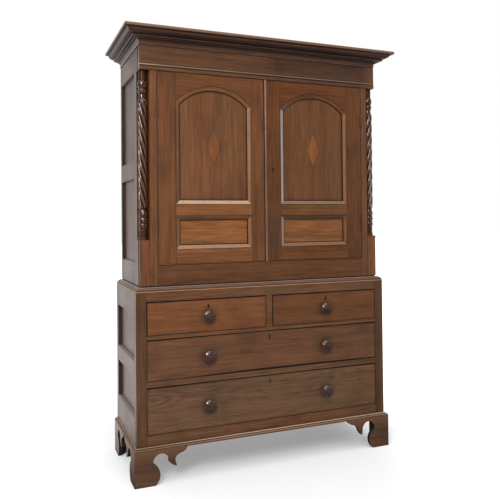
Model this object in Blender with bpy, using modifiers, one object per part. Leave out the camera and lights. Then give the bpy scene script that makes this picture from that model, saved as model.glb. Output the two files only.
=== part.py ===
"""Two-part cupboard: a chest of four drawers that carries a cupboard with two arched-panel doors.

Run it with blender --background --python part.py, or from Blender's text editor.
Sizes are metres. X runs along the front, the front faces -Y, Z is up, the floor is Z 0.
Places in depth are given as distances from the back plane and turned into Y by at().
"""
from math import asin, cos, degrees, pi, radians, sin

import bmesh
import bpy
from mathutils import Matrix, Vector

# Driving sizes: the upper case, the heights of the two cases and of the cornice
UPPER_WIDTH = 1.251
UPPER_DEPTH = 0.471
CHEST_HEIGHT = 0.6887
CUPBOARD_HEIGHT = 1.0995
CORNICE_HEIGHT = 0.0757

# How far the chest, its base and the cornice reach out at each side and in front
LEDGE_AT_SIDE = 0.0270
LEDGE_IN_FRONT = 0.0210
BASE_AT_SIDE = 0.0135
BASE_IN_FRONT = 0.0210
CORNICE_AT_SIDE = 0.0795
CORNICE_IN_FRONT = 0.0810
LOWER_WIDTH = UPPER_WIDTH + 2 * LEDGE_AT_SIDE
LOWER_DEPTH = UPPER_DEPTH + LEDGE_IN_FRONT
BASE_WIDTH = LOWER_WIDTH + 2 * BASE_AT_SIDE
BASE_DEPTH = LOWER_DEPTH + BASE_IN_FRONT
CORNICE_WIDTH = UPPER_WIDTH + 2 * CORNICE_AT_SIDE
CORNICE_DEPTH = UPPER_DEPTH + CORNICE_IN_FRONT

# Clearances: between pieces that touch, round drawers and doors
FIT = 0.0003
DRAWER_GAP = 0.0015
DRAWER_TOP_GAP = 0.0030
DOOR_GAP = 0.0015
MEETING_GAP = 0.0014

# Feet and base
FOOT_HEIGHT = 0.1557
BRACKET_LENGTH = 0.2455
BRACKET_THICKNESS = 0.020
FRET_RADIUS = 0.0365
FRET_FROM_CORNER = 0.1206
FRET_BELOW_TOP = 0.0527
SPUR_BELOW_FRET = 0.0272
REAR_BRACKET_LENGTH = 0.1700
FOOT_BLOCK_WIDTH = 0.0580
FOOT_BLOCK_DEPTH = 0.0930
FOOT_BLOCK_ROUND = 0.0460
FOOT_BLOCK_SHORT = 0.0010
BULGE_RADIUS = 0.0586
BULGE_FROM_CORNER = 0.0580
BULGE_RISE = 0.0456
BASE_THICKNESS = 0.0160

# Lower case, from the base up; the deep drawer takes what the others leave of the height
BOTTOM_RAIL = 0.0462
LOWER_RAIL = 0.0265
MIDDLE_DRAWER = 0.1885
UPPER_RAIL = 0.0175
SHORT_DRAWER = 0.1540
TOP_RAIL = 0.0425
DEEP_DRAWER = (CHEST_HEIGHT - BOTTOM_RAIL - LOWER_RAIL - MIDDLE_DRAWER - UPPER_RAIL
               - SHORT_DRAWER - TOP_RAIL)
WAIST_THICKNESS = 0.0256
LOWER_STILE = 0.0480
DIVIDER = 0.0310
FRAME_THICKNESS = 0.0240

# Panelled sides
LOWER_SIDE_THICKNESS = 0.0280
UPPER_SIDE_THICKNESS = 0.0260
LOWER_PANEL_SUNK = 0.0180
UPPER_PANEL_SUNK = 0.0150
LOWER_REAR_STILE = 0.0420
LOWER_FRONT_STILE = 0.0150
LOWER_SIDE_BOTTOM_RAIL = 0.1200
LOWER_SIDE_PANEL = 0.1830
LOWER_SIDE_MIDDLE_RAIL = 0.0720
LOWER_SIDE_TOP_RAIL = 0.1040
UPPER_REAR_STILE = 0.0240
UPPER_FRONT_STILE = 0.0580
UPPER_SIDE_BOTTOM_RAIL = 0.1020
UPPER_SIDE_PANEL = 0.3960
UPPER_SIDE_MIDDLE_RAIL = 0.0850
UPPER_SIDE_TOP_RAIL = 0.1020

# Boards inside both cases
HOUSING = 0.0060
BACK_THICKNESS = 0.0120
BACK_BOARDS = 5
BACK_GROOVE = 0.0025
DUST_BOARD = 0.0160
GUIDE_HEIGHT = 0.0240
SHELF_THICKNESS = 0.0180
FLOOR_BELOW_RAIL = 0.0060
CEILING_BELOW_TOP = 0.0400
LOWER_SHELF_RISE = 0.2600
UPPER_SHELF_RISE = 0.5750

# Upper front: corner blocks, columns, frame, frieze
FRONT_RAIL = 0.0920
FRIEZE_HEIGHT = 0.1105
DOOR_OPENING = CUPBOARD_HEIGHT - FRONT_RAIL - FRIEZE_HEIGHT
RECESS_WIDTH = 0.0460
RECESS_DEPTH = 0.0640
UPPER_STILE = 0.0335
POST_DEPTH = 0.0810
BLOCK_HEIGHT = 0.2095
BLOCK_CAP = 0.0060
BLOCK_LIP = 0.0015
FRIEZE_LIP = 0.0045
FRIEZE_PROUD = 0.0015

# Columns
COLUMN_RADIUS = 0.0215
COLUMN_STANDS_PROUD = 0.0030
COLUMN_FROM_FACE = 0.0280
COLUMN_HEAD = 0.1290
COLUMN_FOOT = 0.1445
STRANDS = 6
STRAND_PITCH = 0.0640
STRAND_DEPTH = 0.0030
TWIST_STEPS = 28
COLUMN_SIDES = 16

# Doors
DOOR_THICKNESS = 0.0240
OUTER_STILE = 0.0870
MEETING_STILE = 0.0775
SEAM_FROM_MIDDLE = 0.0075
DOOR_BOTTOM_RAIL = 0.0695
OBLONG_PANEL = 0.1575
DOOR_MIDDLE_RAIL = 0.0525
DOOR_TOP_RAIL = 0.0530
ARCH_RISE = 0.0720
MOULDING_WIDTH = 0.0225
ARCH_SPRING = (DOOR_OPENING - 2 * DOOR_GAP - DOOR_BOTTOM_RAIL - OBLONG_PANEL - DOOR_MIDDLE_RAIL
               - ARCH_RISE - MOULDING_WIDTH - DOOR_TOP_RAIL)
MOULDING_DEPTH = 0.0100
PANEL_SEAT = 0.0125
PANEL_THICKNESS = 0.0085
PANEL_REBATE = 0.0070
DIAMOND_HEIGHT = 0.1750
DIAMOND_WIDTH = 0.0710
DIAMOND_RISE = 0.592 * ARCH_SPRING
INLAY_THICKNESS = 0.0030
INLAY_CUTTER_PAST = 0.0040
BEAD_WIDTH = 0.0120
BEAD_HEIGHT = 0.0050
DOOR_KEYHOLE_X = 0.0370
DOOR_KEYHOLE_RISE = 0.4530

# Hinges and locks
HINGE_LENGTH = 0.0640
HINGE_BELOW_TOP = 0.1740
HINGE_ABOVE_BOTTOM = 0.1840
LEAF_WIDTH = 0.0200
LEAF_THICKNESS = 0.0012
KNUCKLE_RADIUS = 0.0040
PIN_RADIUS = 0.0015
PIN_CLEARANCE = 0.0002
LOCK_WIDTH = 0.0520
LOCK_HEIGHT = 0.0700
LOCK_DEPTH = 0.0120
KEYHOLE_RADIUS = 0.0030
KEYHOLE_LENGTH = 0.0120

# Drawers and knobs
FRONT_THICKNESS = 0.0220
LINING = 0.0120
DRAWER_BOTTOM = 0.0080
DRAWER_BOTTOM_RISE = 0.0080
BOX_BELOW_FRONT = 0.0120
BOX_FROM_BACK = 0.0600
TAIL_LENGTH = 0.0140
TAIL_PITCH = 0.0420
TAIL_FLARE = 0.0030
KNOB_FROM_MIDDLE = (DIVIDER / 2 + LOWER_WIDTH / 2 - LOWER_STILE) / 2
KNOB_DROP = 0.0050
KNOB_RADIUS = 0.0290
KNOB_PROJECTION = 0.0330
KNOB_STEPS = 16
SPIGOT_RADIUS = 0.0060
SPIGOT_LENGTH = 0.0180
KEYHOLE_DROP = 0.0320

# Heights of the joints between the parts, worked out from the sizes above
BASE_BOTTOM = FOOT_HEIGHT + FIT
CASE_BOTTOM = BASE_BOTTOM + BASE_THICKNESS + FIT
DEEP_FLOOR = CASE_BOTTOM + BOTTOM_RAIL
MIDDLE_FLOOR = DEEP_FLOOR + DEEP_DRAWER + LOWER_RAIL
SHORT_FLOOR = MIDDLE_FLOOR + MIDDLE_DRAWER + UPPER_RAIL
CASE_TOP = SHORT_FLOOR + SHORT_DRAWER + TOP_RAIL
WAIST_BOTTOM = CASE_TOP + FIT
CUPBOARD_BOTTOM = WAIST_BOTTOM + WAIST_THICKNESS + FIT
OPENING_BOTTOM = CUPBOARD_BOTTOM + FRONT_RAIL
OPENING_TOP = OPENING_BOTTOM + DOOR_OPENING
CUPBOARD_TOP = OPENING_TOP + FRIEZE_HEIGHT
CORNICE_BOTTOM = CUPBOARD_TOP + FIT
BLOCK_TOP = CUPBOARD_BOTTOM + BLOCK_HEIGHT

# Places across and in depth
BACK = CORNICE_DEPTH / 2
LOWER_INSIDE = LOWER_WIDTH / 2 - LOWER_SIDE_THICKNESS
UPPER_INSIDE = UPPER_WIDTH / 2 - UPPER_SIDE_THICKNESS
LOWER_OPENING = LOWER_WIDTH / 2 - LOWER_STILE
RECESS_INSIDE = UPPER_WIDTH / 2 - RECESS_WIDTH
DOORWAY = RECESS_INSIDE - UPPER_STILE
RECESS_BACK = UPPER_DEPTH - RECESS_DEPTH
POST_BACK = UPPER_DEPTH - POST_DEPTH
CASE_FRONT_INSIDE = LOWER_DEPTH - FRAME_THICKNESS
CUPBOARD_FRONT_INSIDE = UPPER_DEPTH - FRAME_THICKNESS
HINGE_X = DOORWAY - DOOR_GAP / 2
HINGE_DEPTH = UPPER_DEPTH + KNUCKLE_RADIUS + FIT
DOOR_EDGE = DOORWAY - DOOR_GAP
DOOR_BOTTOM = OPENING_BOTTOM + DOOR_GAP
DOOR_TOP = OPENING_TOP - DOOR_GAP
PANEL_MIDDLE = (MEETING_STILE + DOOR_EDGE - OUTER_STILE) / 2
PANEL_HALF = (DOOR_EDGE - OUTER_STILE - MEETING_STILE) / 2
COLUMN_X = UPPER_WIDTH / 2 + COLUMN_STANDS_PROUD - COLUMN_RADIUS
COLUMN_DEPTH = UPPER_DEPTH - COLUMN_FROM_FACE

# Colours are linear values read from the photograph's midtones
FINISHES = {
    "oak": ((0.156, 0.061, 0.026), 0.42, 0.0),
    "turned_wood": ((0.061, 0.023, 0.014), 0.25, 0.0),
    "pale_inlay": ((0.250, 0.090, 0.032), 0.42, 0.0),
    "lining_wood": ((0.300, 0.170, 0.080), 0.60, 0.0),
    "brass": ((0.430, 0.300, 0.110), 0.35, 1.0),
    "iron": ((0.080, 0.075, 0.070), 0.50, 1.0),
}

# Which way an outline's two axes and its thickness point, for each drawing view
VIEWS = {
    "plan": Matrix(((1, 0, 0), (0, 1, 0), (0, 0, 1))),
    "front": Matrix(((1, 0, 0), (0, 0, -1), (0, 1, 0))),
    "side": Matrix(((0, 0, 1), (1, 0, 0), (0, 1, 0))),
}


def at(depth):
    """Y of a place that lies this far in front of the back plane."""
    return BACK - depth


def clear_scene():
    for old in list(bpy.data.objects):
        bpy.data.objects.remove(old)


def collection(name):
    made = bpy.data.collections.new(name)
    bpy.context.scene.collection.children.link(made)
    return made


def finish(piece, name):
    """Gives the piece a Principled material of its own with the named finish."""
    colour, roughness, metallic = FINISHES[name]
    material = bpy.data.materials.new(piece.name + "_" + name)
    material.use_nodes = True
    shader = material.node_tree.nodes["Principled BSDF"]
    shader.inputs["Base Color"].default_value = (*colour, 1.0)
    shader.inputs["Roughness"].default_value = roughness
    shader.inputs["Metallic"].default_value = metallic
    material.diffuse_color = (*colour, 1.0)
    piece.data.materials.clear()
    piece.data.materials.append(material)


def keep(piece, finish_name, parent=None):
    """Puts a finished piece in the parts collection, under the empty that moves it."""
    PARTS.objects.link(piece)
    finish(piece, finish_name)
    if parent is not None:
        attach(piece, parent)
    return piece


def attach(piece, parent):
    """Parents without moving: the piece's location becomes its place from the parent."""
    origin = Vector((0, 0, 0))
    holder = parent
    while holder is not None:
        origin += holder.location
        holder = holder.parent
    piece.parent = parent
    piece.location -= origin


def pivot(name, location, parent=None):
    """An empty on a joint, which the pieces of a moving body hang from."""
    empty = bpy.data.objects.new(name, None)
    empty.empty_display_size = 0.05
    empty.location = location
    PARTS.objects.link(empty)
    if parent is not None:
        attach(empty, parent)
    return empty


def from_bmesh(name, bm):
    """A mesh object whose origin is moved to the middle of its shape."""
    bmesh.ops.recalc_face_normals(bm, faces=bm.faces)
    corners = [vert.co for vert in bm.verts]
    low = Vector([min(c[i] for c in corners) for i in range(3)])
    high = Vector([max(c[i] for c in corners) for i in range(3)])
    middle = (low + high) / 2
    bmesh.ops.translate(bm, verts=bm.verts, vec=-middle)
    mesh = bpy.data.meshes.new(name)
    bm.to_mesh(mesh)
    bm.free()
    made = bpy.data.objects.new(name, mesh)
    made.location = middle
    return made


def board(name, x, depth, z, softened=0.0):
    """A squared board between two X, two depths and two heights, its edges softened or sharp."""
    bm = bmesh.new()
    bmesh.ops.create_cube(bm, size=1)
    size = (x[1] - x[0], depth[1] - depth[0], z[1] - z[0])
    bmesh.ops.scale(bm, vec=size, verts=bm.verts)
    middle = ((x[0] + x[1]) / 2, at((depth[0] + depth[1]) / 2), (z[0] + z[1]) / 2)
    bmesh.ops.translate(bm, vec=middle, verts=bm.verts)
    made = from_bmesh(name, bm)
    if softened:
        soften(made, softened)
    return made


def soften(piece, width):
    bevel = piece.modifiers.new("softened edges", "BEVEL")
    bevel.width = width
    bevel.segments = 1
    bevel.limit_method = "ANGLE"


def loft(name, rings):
    """A solid through unlike sections with equal corner counts, closed at both ends."""
    bm = bmesh.new()
    loops = [[bm.verts.new(point) for point in ring] for ring in rings]
    bm.faces.new(loops[0])
    bm.faces.new(loops[-1])
    count = len(loops[0])
    for low, high in zip(loops, loops[1:]):
        for i in range(count):
            j = (i + 1) % count
            bm.faces.new((low[i], low[j], high[j], high[i]))
    return from_bmesh(name, bm)


def moulded_board(name, levels, back_depth=0.0):
    """A board with a mitred profile on front and sides; levels are (half width, depth, height)."""
    rings = []
    for half, depth, z in levels:
        rings.append([(-half, at(back_depth), z), (-half, at(depth), z),
                      (half, at(depth), z), (half, at(back_depth), z)])
    return loft(name, rings)


def extruded(name, outlines, span, view):
    """Flat outlines drawn in plan, front or side view, given thickness between two places.

    Depths in the span of a front view, and in plan and side outlines, are already Y values.
    """
    curve = bpy.data.curves.new(name, "CURVE")
    curve.dimensions = "2D"
    curve.fill_mode = "BOTH"
    curve.extrude = abs(span[1] - span[0]) / 2
    for outline in outlines:
        spline = curve.splines.new("POLY")
        spline.points.add(len(outline) - 1)
        for point, place in zip(spline.points, outline):
            point.co = (place[0], place[1], 0, 1)
        spline.use_cyclic_u = True
    drawn = bpy.data.objects.new(name, curve)
    CUTTERS.objects.link(drawn)
    turn = VIEWS[view].to_4x4()
    middle = (span[0] + span[1]) / 2
    shift = {"plan": (0, 0, middle), "front": (0, middle, 0), "side": (middle, 0, 0)}[view]
    return solid(drawn, Matrix.Translation(shift) @ turn)


def solid(source, placed):
    """The welded mesh of a curve or a modified object, put in its place; the source is removed."""
    bpy.context.view_layer.update()
    evaluated = source.evaluated_get(bpy.context.evaluated_depsgraph_get())
    mesh = bpy.data.meshes.new_from_object(evaluated)
    bm = bmesh.new()
    bm.from_mesh(mesh)
    bpy.data.meshes.remove(mesh)
    bmesh.ops.remove_doubles(bm, verts=bm.verts, dist=0.00001)
    ends = [edge for edge in bm.edges if edge.is_boundary]
    if ends:
        bmesh.ops.holes_fill(bm, edges=ends, sides=0)
    bmesh.ops.transform(bm, matrix=placed, verts=bm.verts)
    name = source.name
    bpy.data.objects.remove(source)
    return from_bmesh(name, bm)


def boolean(piece, tool, operation):
    """Cuts the piece with the tool, or fuses the tool into it; the tool goes to the cutters."""
    CUTTERS.objects.link(tool)
    tool.hide_render = True
    tool.display_type = "WIRE"
    modifier = piece.modifiers.new(tool.name, "BOOLEAN")
    modifier.operation = operation
    modifier.solver = "EXACT"
    modifier.object = tool


def cut(piece, *tools):
    for tool in tools:
        boolean(piece, tool, "DIFFERENCE")


def fuse(piece, *tools):
    for tool in tools:
        boolean(piece, tool, "UNION")


def screw_profile(name, points, angle, rise, steps, closed):
    """An edge profile with a Screw modifier about Z."""
    mesh = bpy.data.meshes.new(name)
    edges = [(i, i + 1) for i in range(len(points) - 1)]
    if closed:
        edges.append((len(points) - 1, 0))
    mesh.from_pydata(points, edges, [])
    made = bpy.data.objects.new(name, mesh)
    CUTTERS.objects.link(made)
    screw = made.modifiers.new("turning", "SCREW")
    screw.axis = "Z"
    screw.angle = angle
    screw.screw_offset = rise
    screw.steps = steps
    screw.render_steps = steps
    screw.use_merge_vertices = not closed
    screw.merge_threshold = 0.00001
    return made


def turned(name, profile, steps, placed):
    """A turned solid; the profile is (radius, height) from the top down, from axis to axis."""
    points = [(radius, 0, height) for radius, height in profile]
    return solid(screw_profile(name, points, 2 * pi, 0, steps, False), placed)


def cylinder(name, radius, z, x, depth, sides=12):
    """An upright round bar between two heights."""
    bm = bmesh.new()
    bmesh.ops.create_cone(bm, cap_ends=True, segments=sides, radius1=radius, radius2=radius,
                          depth=z[1] - z[0])
    bmesh.ops.translate(bm, vec=(x, at(depth), (z[0] + z[1]) / 2), verts=bm.verts)
    return from_bmesh(name, bm)


def hole(name, radius, x, z, depth, length, sides=12):
    """A round cutter that runs straight in from the front."""
    bm = bmesh.new()
    bmesh.ops.create_cone(bm, cap_ends=True, segments=sides, radius1=radius, radius2=radius,
                          depth=length)
    bmesh.ops.rotate(bm, matrix=Matrix.Rotation(pi / 2, 3, "X"), verts=bm.verts)
    bmesh.ops.translate(bm, vec=(x, at(depth), z), verts=bm.verts)
    return from_bmesh(name, bm)


def arc(centre, radius, start, end, count):
    """Points on a circle from one angle to another, in degrees."""
    turns = [radians(start + (end - start) * i / (count - 1)) for i in range(count)]
    return [(centre[0] + radius * cos(a), centre[1] + radius * sin(a)) for a in turns]


def keyhole(name, x, z, face, thickness):
    """A round eye over a slot, cut right through from the front."""
    eye = arc((0, 0), KEYHOLE_RADIUS, -60, 240, 9)
    slot = KEYHOLE_RADIUS * cos(radians(60))
    outline = [(x + a, z + b) for a, b in eye]
    outline += [(x - slot, z - KEYHOLE_LENGTH), (x + slot, z - KEYHOLE_LENGTH)]
    past = 0.002
    return extruded(name, [outline], (at(face + past), at(face - thickness - past)), "front")


def bracket_outline(mirrored, hooked):
    """Front view of a foot's bracket: distance from its corner, and height.

    The toe is a bulge on one circle, the fret is a second circle open at the bottom,
    and a spur hangs between the fret and the step that runs out under the base.
    Its point leans away from the corner, or back to the fret where the spur is hooked.
    """
    fret = (FRET_FROM_CORNER, FOOT_HEIGHT - FRET_BELOW_TOP)
    spur = FRET_FROM_CORNER + FRET_RADIUS
    point = fret[1] - SPUR_BELOW_FRET
    step = BRACKET_LENGTH - spur
    floor_angle = -degrees(asin(BULGE_RISE / BULGE_RADIUS))
    outline = [(0, FOOT_HEIGHT), (0, 0)]
    outline += arc((BULGE_FROM_CORNER, BULGE_RISE), BULGE_RADIUS, floor_angle, 61, 9)
    outline += arc(fret, FRET_RADIUS, 190, -8, 17)
    if hooked:
        outline += [(spur + 0.02 * step, point + 0.004), (spur + 0.08 * step, point),
                    (spur + 0.16 * step, point + 0.006), (spur + 0.26 * step, point + 0.020)]
    else:
        outline += [(spur + 0.21 * step, point + 0.005), (spur + 0.37 * step, point),
                    (spur + 0.40 * step, point + 0.003), (spur + 0.34 * step, point + 0.018)]
    outline += [(spur + 0.32 * step, fret[1] + 0.006), (spur + 0.40 * step, fret[1] + 0.018),
                (spur + 0.57 * step, fret[1] + 0.026), (spur + 0.75 * step, fret[1] + 0.031),
                (spur + 0.88 * step, fret[1] + 0.038), (spur + 0.94 * step, fret[1] + 0.046),
                (BRACKET_LENGTH, FOOT_HEIGHT)]
    if mirrored:
        outline = [(-along, z) for along, z in outline]
    return outline


def rear_outline(mirrored):
    """The bracket across a rear foot: the same toe and half of the fret, then a straight strip."""
    fret = (FRET_FROM_CORNER, FOOT_HEIGHT - FRET_BELOW_TOP)
    floor_angle = -degrees(asin(BULGE_RISE / BULGE_RADIUS))
    outline = [(0, FOOT_HEIGHT), (0, 0)]
    outline += arc((BULGE_FROM_CORNER, BULGE_RISE), BULGE_RADIUS, floor_angle, 61, 9)
    outline += arc(fret, FRET_RADIUS, 190, 90, 9)
    outline += [(REAR_BRACKET_LENGTH, fret[1] + FRET_RADIUS), (REAR_BRACKET_LENGTH, FOOT_HEIGHT)]
    if mirrored:
        outline = [(-along, z) for along, z in outline]
    return outline


def foot_block_outline(inward):
    """Front view of the block glued inside a foot: its lower inner edge is a quarter round."""
    root = BRACKET_THICKNESS / 2
    low = FOOT_BLOCK_SHORT
    centre = (FOOT_BLOCK_WIDTH - FOOT_BLOCK_ROUND, low + FOOT_BLOCK_ROUND)
    outline = [(root, FOOT_HEIGHT - FOOT_BLOCK_SHORT), (root, low)]
    outline += arc(centre, FOOT_BLOCK_ROUND, -90, 0, 6)
    outline += [(FOOT_BLOCK_WIDTH, FOOT_HEIGHT - FOOT_BLOCK_SHORT)]
    return [(inward * along, z) for along, z in outline]


def make_foot(name, side, front):
    """Two brackets that meet at a corner, and the block glued behind their toes.

    The bracket across a rear foot runs out plain after its toe.
    """
    corner_x = side * BASE_WIDTH / 2
    corner_y = at(BASE_DEPTH) if front else at(0)
    inward_x = -side
    inward_y = 1 if front else -1
    if front:
        face = bracket_outline(inward_x < 0, side > 0)
    else:
        face = rear_outline(inward_x < 0)
    long_face = [(corner_x + a, z) for a, z in face]
    span = (corner_y, corner_y + inward_y * BRACKET_THICKNESS)
    foot = extruded(name, [long_face], span, "front")
    return_face = [(corner_y + a, z) for a, z in bracket_outline(inward_y < 0, False)]
    across = (corner_x, corner_x + inward_x * BRACKET_THICKNESS)
    fuse(foot, extruded(name + "_return", [return_face], across, "side"))
    block_face = [(corner_x + a, z) for a, z in foot_block_outline(inward_x)]
    block_span = (corner_y + inward_y * BRACKET_THICKNESS / 2, corner_y + inward_y * FOOT_BLOCK_DEPTH)
    fuse(foot, extruded(name + "_block", [block_face], block_span, "front"))
    keep(foot, "oak")


def make_base():
    for side, side_name in ((-1, "left"), (1, "right")):
        make_foot("foot_front_" + side_name, side, True)
        make_foot("foot_rear_" + side_name, side, False)
    keep(moulded_board("base_board", edge_levels(
        (BASE_WIDTH / 2, BASE_DEPTH), (LOWER_WIDTH / 2, LOWER_DEPTH), BASE_BOTTOM,
        BASE_THICKNESS, ((0.0, 0.0), (0.0, 0.42), (0.18, 0.55), (0.42, 0.62), (0.50, 0.72),
                         (0.78, 0.86), (0.90, 1.0)))), "oak")


def edge_levels(outer, inner, bottom, height, profile):
    """Levels of a moulded edge: each (share of the way in, share of the height)."""
    levels = []
    for share_in, share_up in profile:
        levels.append((outer[0] + (inner[0] - outer[0]) * share_in,
                       outer[1] + (inner[1] - outer[1]) * share_in,
                       bottom + height * share_up))
    return levels


def panelled_side(name, side, half_width, thickness, depth, z, rear, front, rails, sunk):
    """A side frame with its two sunk panels; rails are bottom rail, panel and middle rail."""
    outer = side * half_width
    inner = side * (half_width - thickness)
    piece = board(name, sorted((outer, inner)), (0, depth), z)
    bottom_rail, panel, middle_rail, top_rail = rails
    low = z[0] + bottom_rail
    fields = ((low, low + panel), (low + panel + middle_rail, z[1] - top_rail))
    past = 0.01
    reach = sorted((outer - side * sunk, outer + side * past))
    for i, field in enumerate(fields):
        cut(piece, board(name + "_field_" + str(i), reach, (rear, depth - front), field))
    return piece


def housing(piece, name, side, inside, z, depth):
    """A groove across a side's inner face that takes the end of a board."""
    past = 0.01
    reach = sorted((side * (inside - past), side * (inside + HOUSING)))
    cut(piece, board(name, reach, (-past, depth), (z[0] - FIT, z[1] + FIT)))


def back_boards(name, half, z):
    """A back of upright boards: V grooves mark the joints between them on the outside."""
    outline = [(-half, at(BACK_THICKNESS)), (-half, at(0))]
    for i in range(1, BACK_BOARDS):
        joint = -half + 2 * half * i / BACK_BOARDS
        outline += [(joint - BACK_GROOVE, at(0)), (joint, at(BACK_GROOVE)),
                    (joint + BACK_GROOVE, at(0))]
    outline += [(half, at(0)), (half, at(BACK_THICKNESS))]
    return extruded(name, [outline], z, "plan")


def dust_board(name, top, partition_top=None):
    """The board a row of drawers runs on, with its side guides and, on top, the partition."""
    end = LOWER_INSIDE + HOUSING - FIT
    wall = LOWER_INSIDE - FIT
    guide = LOWER_OPENING - DRAWER_GAP / 2
    bottom = top - DUST_BOARD
    outline = [(-end, bottom), (end, bottom), (end, top), (wall, top), (wall, top + GUIDE_HEIGHT),
               (guide, top + GUIDE_HEIGHT), (guide, top)]
    if partition_top is not None:
        half = DIVIDER / 2 - DRAWER_GAP / 2
        outline += [(half, top), (half, partition_top), (-half, partition_top), (-half, top)]
    outline += [(-guide, top), (-guide, top + GUIDE_HEIGHT), (-wall, top + GUIDE_HEIGHT),
                (-wall, top), (-end, top)]
    span = (at(BACK_THICKNESS + FIT), at(CASE_FRONT_INSIDE - FIT))
    return extruded(name, [outline], span, "front")


def make_lower_case():
    z = (CASE_BOTTOM, CASE_TOP)
    boards = {"dust_board_bottom": DEEP_FLOOR, "dust_board_middle": MIDDLE_FLOOR,
              "dust_board_upper": SHORT_FLOOR}
    rails = (LOWER_SIDE_BOTTOM_RAIL, LOWER_SIDE_PANEL, LOWER_SIDE_MIDDLE_RAIL,
             LOWER_SIDE_TOP_RAIL)
    side_depth = CASE_FRONT_INSIDE - FIT
    for side, side_name in ((-1, "left"), (1, "right")):
        name = "lower_side_" + side_name
        piece = panelled_side(name, side, LOWER_WIDTH / 2, LOWER_SIDE_THICKNESS, side_depth, z,
                              LOWER_REAR_STILE, LOWER_FRONT_STILE, rails, LOWER_PANEL_SUNK)
        for board_name, top in boards.items():
            housing(piece, name + "_" + board_name, side, LOWER_INSIDE,
                    (top - DUST_BOARD, top), side_depth + 0.01)
        keep(piece, "oak")
    keep(dust_board("dust_board_bottom", DEEP_FLOOR), "lining_wood")
    keep(dust_board("dust_board_middle", MIDDLE_FLOOR), "lining_wood")
    keep(dust_board("dust_board_upper", SHORT_FLOOR, CASE_TOP), "lining_wood")
    keep(back_boards("lower_back", LOWER_INSIDE - FIT, z), "lining_wood")
    make_lower_front(z)
    keep(moulded_board("waist_top_board", edge_levels(
        (LOWER_WIDTH / 2, LOWER_DEPTH), (UPPER_WIDTH / 2, UPPER_DEPTH), WAIST_BOTTOM,
        WAIST_THICKNESS, ((0.0, 0.0), (0.0, 0.30), (0.12, 0.40), (0.30, 0.44), (0.34, 0.52),
                          (0.55, 0.66), (0.66, 0.70), (0.70, 0.80), (0.86, 0.94), (0.92, 1.0)))),
         "oak")


def make_lower_front(z):
    """The face frame: one board with the four drawer openings cut out of it."""
    depth = (CASE_FRONT_INSIDE, LOWER_DEPTH)
    frame = board("lower_front_frame", (-LOWER_WIDTH / 2, LOWER_WIDTH / 2), depth, z, 0.001)
    past = 0.01
    through = (depth[0] - past, depth[1] + past)
    for name, x, floor, height, knobs in drawer_rows():
        cut(frame, board("opening_" + name, x, through, (floor, floor + height)))
    keep(frame, "oak")


def drawer_rows():
    """Name, X of the opening, its floor, its height and the X of the knobs, for each drawer."""
    half = LOWER_OPENING
    divider = DIVIDER / 2
    return (
        ("drawer_short_left", (-half, -divider), SHORT_FLOOR, SHORT_DRAWER, (-KNOB_FROM_MIDDLE,)),
        ("drawer_short_right", (divider, half), SHORT_FLOOR, SHORT_DRAWER, (KNOB_FROM_MIDDLE,)),
        ("drawer_middle", (-half, half), MIDDLE_FLOOR, MIDDLE_DRAWER,
         (-KNOB_FROM_MIDDLE, KNOB_FROM_MIDDLE)),
        ("drawer_bottom", (-half, half), DEEP_FLOOR, DEEP_DRAWER,
         (-KNOB_FROM_MIDDLE, KNOB_FROM_MIDDLE)),
    )


def tail_shapes(z, root, tip, grow):
    """Dovetails along a drawer side's front end, as (Y, Z) outlines, grown by a clearance."""
    count = max(2, round((z[1] - z[0]) / TAIL_PITCH))
    pitch = (z[1] - z[0]) / count
    narrow = pitch * 0.28 + grow
    wide = narrow + TAIL_FLARE
    shapes = []
    for i in range(count):
        middle = z[0] + pitch * (i + 0.5)
        shapes.append([(root, middle - narrow), (tip, middle - wide),
                       (tip, middle + wide), (root, middle + narrow)])
    return shapes


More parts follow.
